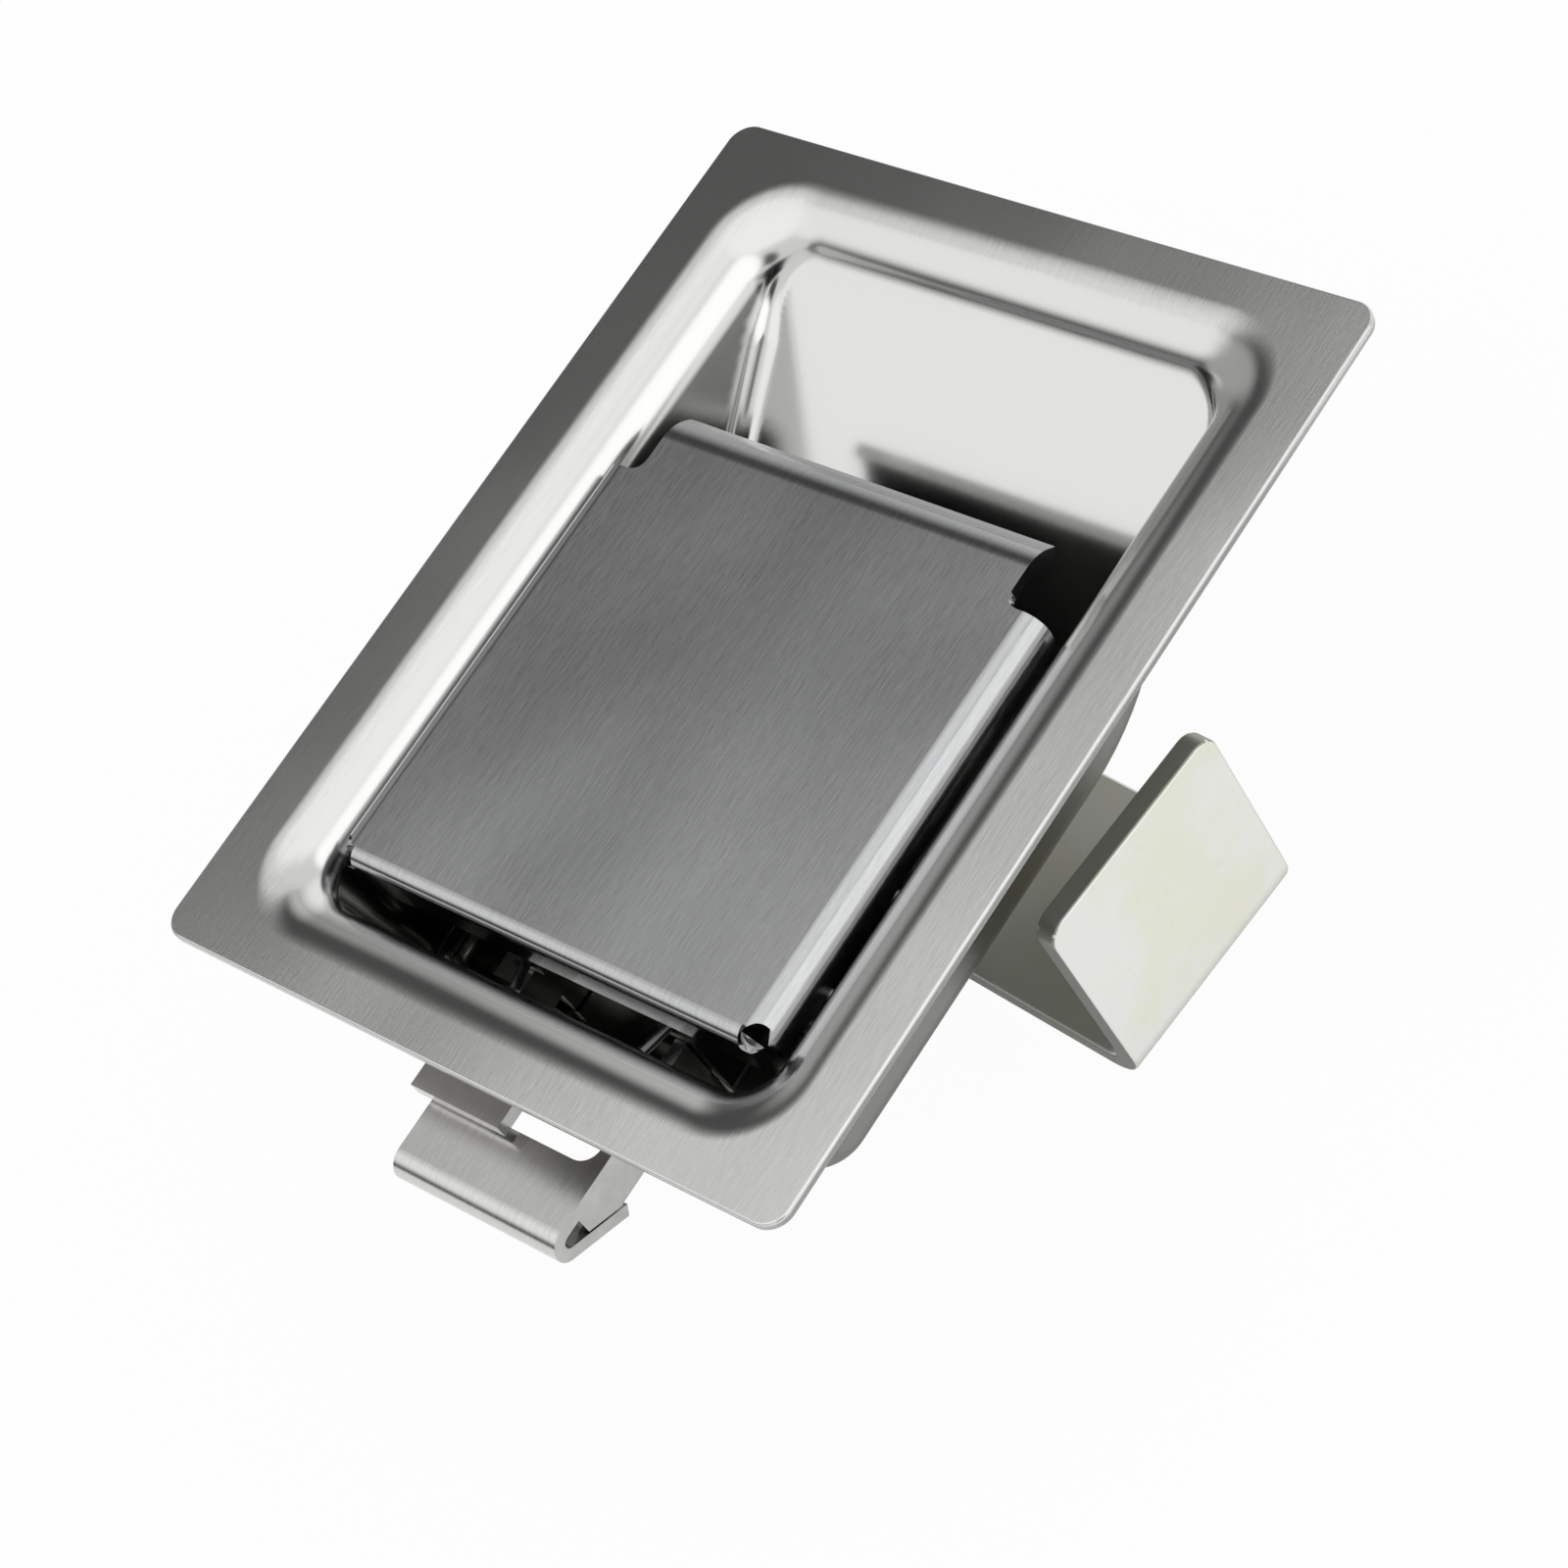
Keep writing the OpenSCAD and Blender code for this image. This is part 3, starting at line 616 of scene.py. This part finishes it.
def dish_stations():
    """Corner arcs and straights in turn, with the slot's two sides among the stations of the latch end."""
    slot_y = RIM_HALF[1] - wall_inset(np.array(SLOT_Z[0]))[0]
    straight = 2 * (RIM_HALF[0] - ROLL_CORNER_R)
    slot = SLOT_HALF * RIM_HALF[0] / (slot_y - SPINE_Y) / straight
    cuts = [0, 0.5 - slot, 0.5 + slot, 1]
    stations = []
    for part in range(8):
        if part == LATCH_END:
            for a, b, n in zip(cuts, cuts[1:], SLOT_STATIONS):
                stations += [(part, t) for t in a + (b - a) * np.arange(n) / n]
            continue
        n = SIDE_STATIONS
        if part % 2 == 0:
            n = CORNER_STATIONS
        elif part == FAR_END:
            n = END_STATIONS
        stations += [(part, t) for t in np.arange(n) / n]
    return stations


def dish_profiles(rim):
    """For each rim point, points of the front surface from the rim to the middle, closer where it bends."""
    spine = np.stack([np.zeros(len(rim)), np.clip(rim[:, 1], -SPINE_Y, SPINE_Y)], axis=-1)
    run = np.linalg.norm(rim - spine, axis=-1)
    heading = (rim - spine) / run[:, None]
    low = np.arctan2(RAY_TOP - SHEET, run)

    def hit(angle):
        """Where rays from above the spine, at these angles below the level, meet the surface."""
        flat = np.cos(angle)
        way = np.stack([heading[:, None, 0] * flat, heading[:, None, 1] * flat, -np.sin(angle)], axis=-1)
        start = np.concatenate([spine, np.full((len(spine), 1), RAY_TOP)], axis=-1)[:, None, :]
        near = (RAY_TOP - SHEET) / np.sin(angle)
        far = near + RAY_LENGTH
        for _ in range(RAY_HALVINGS):
            middle = (near + far) / 2
            hollow = recess_distance(start + way * middle[..., None]) < 0
            near = np.where(hollow, middle, near)
            far = np.where(hollow, far, middle)
        return start + way * near[..., None]

    share = np.linspace(0, 1, RAY_SAMPLES)
    angle = low[:, None] + (math.pi / 2 - low[:, None]) * share
    p = hit(angle)
    n = recess_normal(p)
    length = np.linalg.norm(np.diff(p, axis=1), axis=-1)
    bend = np.arccos(np.clip((n[:, 1:] * n[:, :-1]).sum(-1), -1, 1))
    step = length / ROW_LENGTH + bend / ROW_BEND
    around = np.arange(-EVEN_REACH, EVEN_REACH + 1)
    weight = np.exp(-(around / EVEN_WIDTH) ** 2)
    step = sum(np.roll(step, k, axis=0) * w for k, w in zip(around, weight))
    cost = np.concatenate([np.zeros((len(p), 1)), np.cumsum(step, axis=1)], axis=1)
    wanted = np.linspace(0, 1, ROWS) * cost[:, -1:]
    angle = np.stack([np.interp(wanted[i], cost[i], angle[i]) for i in range(len(p))])
    return hit(angle)


def snap_slot(inner, left, right):
    """Lays two rows of the latch end wall on the slot's long edges and returns their numbers."""
    middle = inner[(left + right) // 2]
    off_wall = 1e3 * (middle[:, 1] > END_WALL_Y)
    rows = [int(np.argmin(np.abs(middle[:, 2] - z) + off_wall)) for z in SLOT_Z]
    for row, z in zip(rows, SLOT_Z):
        y = wall_inset(np.array(z))[0] - RIM_HALF[1]
        for k in range(left, right + 1):
            near, out = inner[k, -1], inner[k, 0]
            t = (y - near[1]) / (out[1] - near[1])
            inner[k, row] = (near[0] + t * (out[0] - near[0]), y, z)
    return rows


def slot_loop(rows, left, right):
    """The slot's edge as (row, station) pairs, once round."""
    first, last = rows
    loop = [(first, k) for k in range(left, right)]
    loop += [(r, right) for r in range(first, last)]
    loop += [(last, k) for k in range(right, left, -1)]
    loop += [(r, left) for r in range(last, first, -1)]
    return loop


def ring(plan, z, normal):
    """One row of points at a height, with their normals."""
    count = len(plan)
    return np.concatenate([plan, np.full((count, 1), z)], axis=-1), np.broadcast_to(normal, (count, 3))


def flange_rings(rim, stations):
    """Rows over the flange's flat land, round its broken edge and back below it."""
    half_x, half_y = FLANGE[0] / 2, FLANGE[1] / 2
    outline = rounded_outline(half_x, half_y, FLANGE_R, stations)
    outward = rounded_outline(half_x + 1, half_y + 1, FLANGE_R + 1, stations) - outline
    edge = []
    for turn in np.radians(np.linspace(90, -90, EDGE_ROWS)):
        z = SHEET / 2 + math.copysign(SHEET / 2 - EDGE_BREAK, turn) + EDGE_BREAK * math.sin(turn)
        plan = outline - outward * EDGE_BREAK * (1 - math.cos(turn))
        up = np.full((len(outline), 1), math.sin(turn))
        edge.append(ring(plan, z, np.concatenate([outward * math.cos(turn), up], axis=-1)))
    across = edge[0][0][:, :2] - rim
    land = [ring(rim + across * t, SHEET, (0, 0, 1)) for t in (0.33, 0.67)]
    below = [ring(rim + across * t, 0, (0, 0, -1)) for t in (0.67, 0.33)]
    return land, edge, below


def set_smooth_normals(mesh, lean):
    """Gives each corner its surface's true normal, apart from cut faces, which stay flat."""
    corners = []
    for face in mesh.polygons:
        mean = sum((lean[v] for v in face.vertices), Vector()).normalized()
        cut = mean.dot(face.normal) < 0.6
        corners += [face.normal if cut else lean[v] for v in face.vertices]
    mesh.normals_split_custom_set(corners)


def make_dish():
    """The drawn sheet as one closed skin: front rows, flange, back rows and the walls of the bolt's slot."""
    stations = dish_stations()
    count = len(stations)
    rim = rounded_outline(*RIM_HALF, ROLL_CORNER_R, stations)
    inner = dish_profiles(rim)
    inner[:, 0] = np.concatenate([rim, np.full((count, 1), SHEET)], axis=-1)
    left = stations.index((LATCH_END, 0)) + SLOT_STATIONS[0]
    right = left + SLOT_STATIONS[1]
    slot_rows = snap_slot(inner, left, right)

    lean = recess_normal(inner)
    lean[:, 0] = (0, 0, 1)
    front = [(inner[:, row], lean[:, row]) for row in range(inner.shape[1])]
    back = [(p - SHEET * n, -n) for p, n in front]
    land, edge, below = flange_rings(rim, stations)
    rings = front[::-1] + land + edge + below + back
    rows = len(rings)
    front_row = len(front) - 1
    back_row = rows - len(back)
    gaps = [sorted(front_row - r for r in slot_rows), sorted(back_row + r for r in slot_rows)]
    faces = []
    for i in range(rows - 1):
        cut = any(first <= i < last for first, last in gaps)
        for k in range(count):
            if cut and left <= k < right:
                continue
            n = (k + 1) % count
            faces.append((i * count + k, i * count + n, (i + 1) * count + n, (i + 1) * count + k))
    loop = slot_loop(slot_rows, left, right)
    for (r1, k1), (r2, k2) in zip(loop, loop[1:] + loop[:1]):
        faces.append((
            (front_row - r1) * count + k1, (front_row - r2) * count + k2,
            (back_row + r2) * count + k2, (back_row + r1) * count + k1,
        ))

    mesh = bpy.data.meshes.new("dish_shell")
    points = np.concatenate([p for p, _ in rings]) * MM
    mesh.from_pydata(points.tolist(), [], faces)
    outside = np.repeat(np.arange(rows) >= back_row - len(below), count)
    mesh.attributes.new("outside", "FLOAT", "POINT").data.foreach_set("value", outside.astype(float))
    normals = np.concatenate([n for _, n in rings])
    mesh.attributes.new("lean", "FLOAT_VECTOR", "POINT").data.foreach_set("vector", normals.ravel())
    cleaned(mesh, 2e-6)
    set_smooth_normals(mesh, [Vector(item.vector) for item in mesh.attributes["lean"].data])
    mesh.attributes.remove(mesh.attributes["lean"])
    return new_piece("dish_shell", mesh, "dish", "dish", "dish")


# Springs, rivets, stud and the bolt's window


def geometry_tree(name, sizes):
    """A geometry tree with one named input for each size, and those inputs as values."""
    group = bpy.data.node_groups.new(name, "GeometryNodeTree")
    group.interface.new_socket("Geometry", in_out="INPUT", socket_type="NodeSocketGeometry")
    group.interface.new_socket("Geometry", in_out="OUTPUT", socket_type="NodeSocketGeometry")
    for size, kind in sizes.items():
        group.interface.new_socket(size, in_out="INPUT", socket_type=kind)
    tree = Tree(group)
    entry = group.nodes.new("NodeGroupInput")
    return tree, {socket.name: Value(tree, socket) for socket in entry.outputs if socket.name}


def close_tree(tree, geometry, material):
    """Ends a geometry tree with real, smooth geometry in its material."""
    shaded = tree.add("GeometryNodeSetShadeSmooth", None, {"Geometry": geometry})
    whole = tree.add("GeometryNodeRealizeInstances", None, {"Geometry": shaded})
    painted = tree.add("GeometryNodeSetMaterial", None, {"Geometry": whole, "Material": material})
    tree.add("NodeGroupOutput", None, {"Geometry": painted})
    return tree.tree


def wire_tree():
    """Sweeps a round wire along a line of points."""
    sizes = {"Wire Radius": "NodeSocketFloat", "Sides": "NodeSocketInt"}
    tree, given = geometry_tree("wire_along_path", sizes)
    path = tree.add("GeometryNodeMeshToCurve", None, {"Mesh": given["Geometry"]})
    section = {"Resolution": given["Sides"], "Radius": given["Wire Radius"]}
    round_section = tree.add("GeometryNodeCurvePrimitiveCircle", None, section)
    inputs = {"Curve": path, "Profile Curve": round_section, "Fill Caps": True}
    return close_tree(tree, tree.add("GeometryNodeCurveToMesh", None, inputs), MATERIALS["spring"])


def rivet_tree():
    """Sets one rivet on each point, turned to the point's own axis."""
    tree, given = geometry_tree("rivets_on_points", {"Rivet": "NodeSocketObject"})
    axis = tree.add("GeometryNodeInputNamedAttribute", {"data_type": "FLOAT_VECTOR"}, {"Name": "axis"})
    turn = tree.add("FunctionNodeAlignRotationToVector", {"axis": "Z"}, {"Vector": axis})
    shape = tree.add("GeometryNodeObjectInfo", None, {"Object": given["Rivet"]}, output="Geometry")
    inputs = {"Points": given["Geometry"], "Instance": shape, "Rotation": turn}
    return close_tree(tree, tree.add("GeometryNodeInstanceOnPoints", None, inputs), MATERIALS["rivet"])


def grown(mesh, group, sizes):
    """Runs a geometry tree over a mesh and returns the result as a plain mesh."""
    guide = placed("guide", mesh)
    modifier = guide.modifiers.new("grow", "NODES")
    modifier.node_group = group
    for item in group.interface.items_tree:
        if item.in_out == "INPUT" and item.name in sizes:
            modifier[item.identifier] = sizes[item.name]
    result = evaluated(guide)
    bpy.data.objects.remove(guide)
    return result


def wire(points, diameter, group):
    mesh = bpy.data.meshes.new("wire")
    places = [tuple(MM * c for c in p) for p in points]
    mesh.from_pydata(places, [(i, i + 1) for i in range(len(places) - 1)], [])
    return grown(mesh, group, {"Wire Radius": diameter / 2 * MM, "Sides": WIRE_SIDES})


def bolt_spring_path(x):
    """A coil along Y with a closed turn at each end, between the bolt's drive wall and the seat."""
    low, high = DRIVE_Y + SPRING_WIRE / 2, SEAT_Y - SPRING_WIRE / 2
    turns = (0, 1, SPRING_TURNS - 1, SPRING_TURNS)
    ys = (low, low + SPRING_CLOSED, high - SPRING_CLOSED, high)
    points = []
    for i in range(SPRING_TURNS * TURN_STEPS + 1):
        t = i / TURN_STEPS
        turn = 2 * math.pi * t
        y = float(np.interp(t, turns, ys))
        points.append((x + SPRING_R * math.cos(turn), y, SPRING_Z + SPRING_R * math.sin(turn)))
    return points


def paddle_spring_path(side):
    """A coil on the pin: one leg on the rail's lip, the other under the lever."""
    pin_y, pin_z = PIN
    low = LIP_Z + COIL_WIRE / 2
    high = LEVER_Z - COIL_WIRE / 2
    points = [
        (COIL_X - 2.2, 2 - FOOT_Y, low),
        (COIL_X - 1.2, pin_y - 6, low),
        (COIL_X - 0.3, pin_y - 2.4, low + 0.1),
    ]
    for i in range(int(COIL_TURNS * TURN_STEPS) + 1):
        turn = 2 * math.pi * i / TURN_STEPS
        x = COIL_X + COIL_PITCH * i / TURN_STEPS
        points.append((x, pin_y + COIL_R * math.sin(turn), pin_z - COIL_R * math.cos(turn)))
    points += [
        (COIL_OUT + 0.3, pin_y - 2.2, high - 0.6),
        (COIL_OUT + 0.6, pin_y - 3.4, high),
        (COIL_OUT + 0.8, pin_y - 4.3, high),
    ]
    return [(side * x, y, z) for x, y, z in points]


def make_springs():
    group = wire_tree()
    for name, side in (("left", -1), ("right", 1)):
        x = side * SPRING_X
        mesh = wire(bolt_spring_path(x), SPRING_WIRE, group)
        piece = new_piece("bolt_spring_%s_wire" % name, mesh, "spring", "dish", "bolt_spring_" + name)
        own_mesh(piece)
        mesh = wire(paddle_spring_path(side), COIL_WIRE, group)
        piece = new_piece("paddle_spring_%s_wire" % name, mesh, "spring", None, "paddle_spring_" + name)
        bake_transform(piece)


def turned(name, profile, around=40):
    """A closed shape turned about Z from its outline: (radius, height) from one pole to the other."""
    verts = [(0, 0, profile[0][1] * MM)]
    for r, z in profile[1:-1]:
        turns = [2 * math.pi * k / around for k in range(around)]
        verts += [(r * MM * math.cos(a), r * MM * math.sin(a), z * MM) for a in turns]
    verts.append((0, 0, profile[-1][1] * MM))
    rings = len(profile) - 2
    faces = []
    for k in range(around):
        n = (k + 1) % around
        faces.append((0, 1 + n, 1 + k))
        for i in range(rings - 1):
            a, b = 1 + i * around, 1 + (i + 1) * around
            faces.append((a + k, a + n, b + n, b + k))
        last = 1 + (rings - 1) * around
        faces.append((last + k, last + n, len(verts) - 1))
    mesh = bpy.data.meshes.new(name)
    mesh.from_pydata(verts, [], faces)
    return mesh


def rivet_outline(d, grip, tail):
    """From the flat shop head below to the upset dome on top: z is 0 at the grip's start."""
    head, dome = 1.55 * d / 2, 1.62 * d / 2
    below = np.radians(np.linspace(15, 88, 9))
    above = np.radians(np.linspace(4, 78, 10))
    low = [(0, -tail)]
    low += [(head * math.sin(a), -tail * math.cos(a) ** 0.7) for a in below]
    low += [(head, 0), (d / 2, 0)]
    top = [(d / 2, grip), (dome, grip)]
    top += [(dome * math.cos(a), grip + RIVET_RISE * math.sin(a) ** 0.8) for a in above]
    return low + top + [(0, grip + RIVET_RISE)]


def rivets(node, places, axis, d, grip, tail, group):
    """One set of rivets with their grips starting at the places, all along one axis."""
    shape = placed("rivet", turned("rivet", rivet_outline(d, grip, tail)))
    mesh = bpy.data.meshes.new("rivet_places")
    mesh.from_pydata([tuple(MM * c for c in p) for p in places], [], [])
    axes = mesh.attributes.new("axis", "FLOAT_VECTOR", "POINT")
    axes.data.foreach_set("vector", list(axis) * len(places))
    result = grown(mesh, group, {"Rivet": shape})
    bpy.data.objects.remove(shape)
    result.set_sharp_from_angle(angle=RIVET_ANGLE)
    new_piece(node + "_set", result, "rivet", "dish", node)


def make_rivets():
    group = rivet_tree()
    back_z = FLOOR_Z - SHEET
    grip = SHEET + RAIL_T
    floor_set = [(s * RAIL_RIVET_X, y, back_z) for s in (-1, 1) for y in RAIL_RIVET_YS]
    rivets("rail_rivets", floor_set, (0, 0, 1), RIVET_D, grip, RIVET_TAIL, group)
    seat_set = [(s * SEAT_RIVET_X, SEAT_Y + SEAT_RIVET_BACK, back_z) for s in (-1, 1)]
    rivets("seat_rivets", seat_set, (0, 0, 1), RIVET_D, grip, RIVET_TAIL, group)
    wall_y = wall_inset(np.array(GUIDE_RIVET_Z))[0] - RIM_HALF[1]
    outward = (0, -math.cos(DRAFT), -math.sin(DRAFT))
    guide_set = [(x, wall_y, GUIDE_RIVET_Z + SHEET * math.sin(DRAFT)) for x in GUIDE_RIVET_XS]
    rivets("guide_rivets", guide_set, outward, GUIDE_RIVET_D, SHEET + GUIDE_T, GUIDE_RIVET_TAIL, group)


def make_stud():
    """A welded stud: a collar, a plain neck and a rolled thread that ends in a chamfer."""
    around, per_turn = 36, 14
    depth = 0.58 * STUD_PITCH
    radius = STUD_D / 2
    wide = radius + COLLAR_W
    narrow = wide - COLLAR_BREAK
    weld = STUD_TOP + COLLAR_T
    thread_top = STUD_TOP - STUD_NECK
    rings = [[(0, weld)] * around]
    for r, z in (
        (narrow, weld),
        (wide, weld - COLLAR_BREAK),
        (wide, STUD_TOP + COLLAR_BREAK),
        (narrow, STUD_TOP),
        (radius + 0.02, STUD_TOP),
    ):
        rings.append([(r, z)] * around)
    for i in range(int((thread_top - STUD_END) / STUD_PITCH * per_turn) + 1):
        z = thread_top - i * STUD_PITCH / per_turn
        fade = min((thread_top - z) / STUD_PITCH, 1)
        chamfer = radius - STUD_CHAMFER + max(z - STUD_END, 0)
        thread = []
        for k in range(around):
            phase = ((z - STUD_END) / STUD_PITCH + k / around) % 1
            groove = depth * min(max(1.25 * (1 - abs(2 * phase - 1)) - 0.125, 0), 1)
            thread.append((min(radius - groove * fade, chamfer), z))
        rings.append(thread)
    rings.append([(0, STUD_END)] * around)
    verts = []
    for row in rings:
        for k, (r, z) in enumerate(row):
            a = 2 * math.pi * k / around
            verts.append((r * MM * math.cos(a), (STUD_Y + r * math.sin(a)) * MM, z * MM))
    faces = []
    for i in range(len(rings) - 1):
        for k in range(around):
            n = (k + 1) % around
            faces.append((i * around + k, (i + 1) * around + k, (i + 1) * around + n, i * around + n))
    mesh = bpy.data.meshes.new("mounting_stud")
    mesh.from_pydata(verts, [], faces)
    cleaned(mesh, 1e-6)
    mesh.set_sharp_from_angle(angle=SHARP_ANGLE)
    new_piece("mounting_stud_thread", mesh, "fastener", "dish", "mounting_stud")


def window_lip():
    """The edge of the nose plate beside the tab, with the two round corners of the bolt's window."""
    lap = BOLT_T / 3
    inner = BOLT_HALF - BOLT_T
    edge = WINDOW_Y + WINDOW_LIP
    half = []
    for turn in np.radians(np.linspace(0, 90, 9)):
        half.append((inner - WINDOW_R * (1 - math.sin(turn)), edge + WINDOW_R * (1 - math.cos(turn))))
    half += [(inner + lap, edge + WINDOW_R), (inner + lap, WINDOW_Y - lap)]
    outline = half + [(-x, y) for x, y in reversed(half)]
    work = bmesh.new()
    top = work.faces.new([work.verts.new((x * MM, y * MM, BOLT_FRONT * MM)) for x, y in outline])
    raised = bmesh.ops.extrude_face_region(work, geom=[top])["geom"]
    moved = [part for part in raised if isinstance(part, bmesh.types.BMVert)]
    bmesh.ops.translate(work, verts=moved, vec=(0, 0, -BOLT_T * MM))
    bmesh.ops.recalc_face_normals(work, faces=work.faces)
    mesh = bpy.data.meshes.new("window_lip")
    work.to_mesh(mesh)
    work.free()
    return mesh


def yoke_sheared_and_shaded_faces(place):
    """Directions of the yoke's faces that are painted darker: where the strip was sheared across its width,
    and upward at its legs' tips, which are sheared too and sit in shade under the flange, so their dark
    colour is partly painted shade.
    """
    turn = math.radians(YOKE_TURN)
    ways = [Vector((-math.sin(turn), math.cos(turn), 0))]
    if place.z > YOKE_TIP_Z * MM:
        ways.append(Vector((0, 0, 1)))
    return ways


make_dish()
soft_edges("paddle", 0.22, "paddle", "paddle")
soft_edges("slam_bolt", 0.2, "bolt", "bolt", extra=window_lip())
soft_edges("clamp_bracket", 0.4, "yoke", "yoke", yoke_sheared_and_shaded_faces)
soft_edges("trip_lever", 0.2, "sheet", "paddle")
soft_edges("end_guide", 0.2, "bolt", "dish")
for node in ("bolt_rail_left", "bolt_rail_right", "spring_seat"):
    soft_edges(node, 0.18, "sheet", "dish")
for node in ("pivot_pin", "pin_clip"):
    soft_edges(node, 0.12, "rivet", "dish")
for node in ("flat_washer", "lock_washer", "hex_nut"):
    soft_edges(node, 0.15, "fastener", "clamp_nut")
make_springs()
make_rivets()
make_stud()
soft_edges("spring_rods", 0.15, "rivet", "dish")


# Studio


def white_floor():
    """A floor that is white to the camera and takes a faint shadow, with a painted shadow below the part as
    the metal sees it.
    """
    material, tree = shader("studio_floor")
    camera, glossy = [
        tree.add("ShaderNodeLightPath", output=name) for name in ("Is Camera Ray", "Is Glossy Ray")
    ]
    x, y, _ = tree.axes()
    # Painted shadow: in the metal the floor glows only dimly below the part and brightly beside it
    beside = (abs(x) - FLANGE[0] / 2).at_least(abs(y) - FLANGE[1] / 2).step(*FLOOR_FADE)
    seen = (camera * FLOOR_WHITE).at_least(glossy * (beside * FLOOR_BESIDE + FLOOR_UNDER))
    diffuse = tree.add("ShaderNodeBsdfDiffuse", None, {"Color": (0.75, 0.75, 0.75, 1)})
    glow = tree.add("ShaderNodeEmission", None, {"Color": (1, 1, 1, 1), "Strength": 1.0})
    surface = tree.add("ShaderNodeMixShader", None, {0: seen, 1: diffuse, 2: glow})
    tree.add("ShaderNodeOutputMaterial", None, {"Surface": surface})
    mesh = bpy.data.meshes.new("floor")
    half = FLOOR_HALF * MM
    corners = [(-half, -half), (half, -half), (half, half), (-half, half)]
    mesh.from_pydata([(x, y, FLOOR_LEVEL * MM) for x, y in corners], [], [(0, 1, 2, 3)])
    mesh.materials.append(material)
    floor = placed("floor", mesh)
    floor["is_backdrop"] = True


def studio_world():
    """White to the camera. In the metal, a dome on the camera's side, a soft top and four side lights."""
    world = bpy.data.worlds.new("studio")
    bpy.context.scene.world = world
    world.use_nodes = True
    tree = Tree(world.node_tree)
    way = tree.add("ShaderNodeTexCoord", output="Generated")

    def light(direction, begin, full, strength):
        inputs = {0: way, 1: Vector(direction).normalized()}
        facing = tree.add("ShaderNodeVectorMath", {"operation": "DOT_PRODUCT"}, inputs, output="Value")
        return facing.step(begin, full) * strength

    core, rim = [light(*part) for part in DOME_LIGHTS]
    level = (core + rim) * (1 - light(*DOME_GAP)) + light(*OVERHEAD)
    for side in SIDE_LIGHTS:
        level = level.at_least(light(*side))
    camera = tree.add("ShaderNodeLightPath", output="Is Camera Ray")
    strength = (level + AMBIENT).at_least(camera)
    background = tree.add("ShaderNodeBackground", None, {"Color": (1, 1, 1, 1), "Strength": strength})
    tree.add("ShaderNodeOutputWorld", None, {"Surface": background})


def photo_camera():
    camera = bpy.data.cameras.new("camera")
    camera.lens = FOCAL_PIXELS / PHOTO_WIDTH * SENSOR
    camera.sensor_width = SENSOR
    camera.sensor_fit = "HORIZONTAL"
    camera.clip_start = 0.01
    place = placed("camera", camera)
    turn = Matrix(CAMERA_AXES).transposed().to_4x4()
    place.matrix_world = Matrix.Translation(Vector(CAMERA_AT) * MM) @ turn
    bpy.context.scene.camera = place


white_floor()
studio_world()
photo_camera()
bpy.context.scene.view_settings.view_transform = "Standard"

boxes = {"cad": cad_box, "visual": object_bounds()}
boxes = {name: [list(corner) for corner in box] for name, box in boxes.items()}
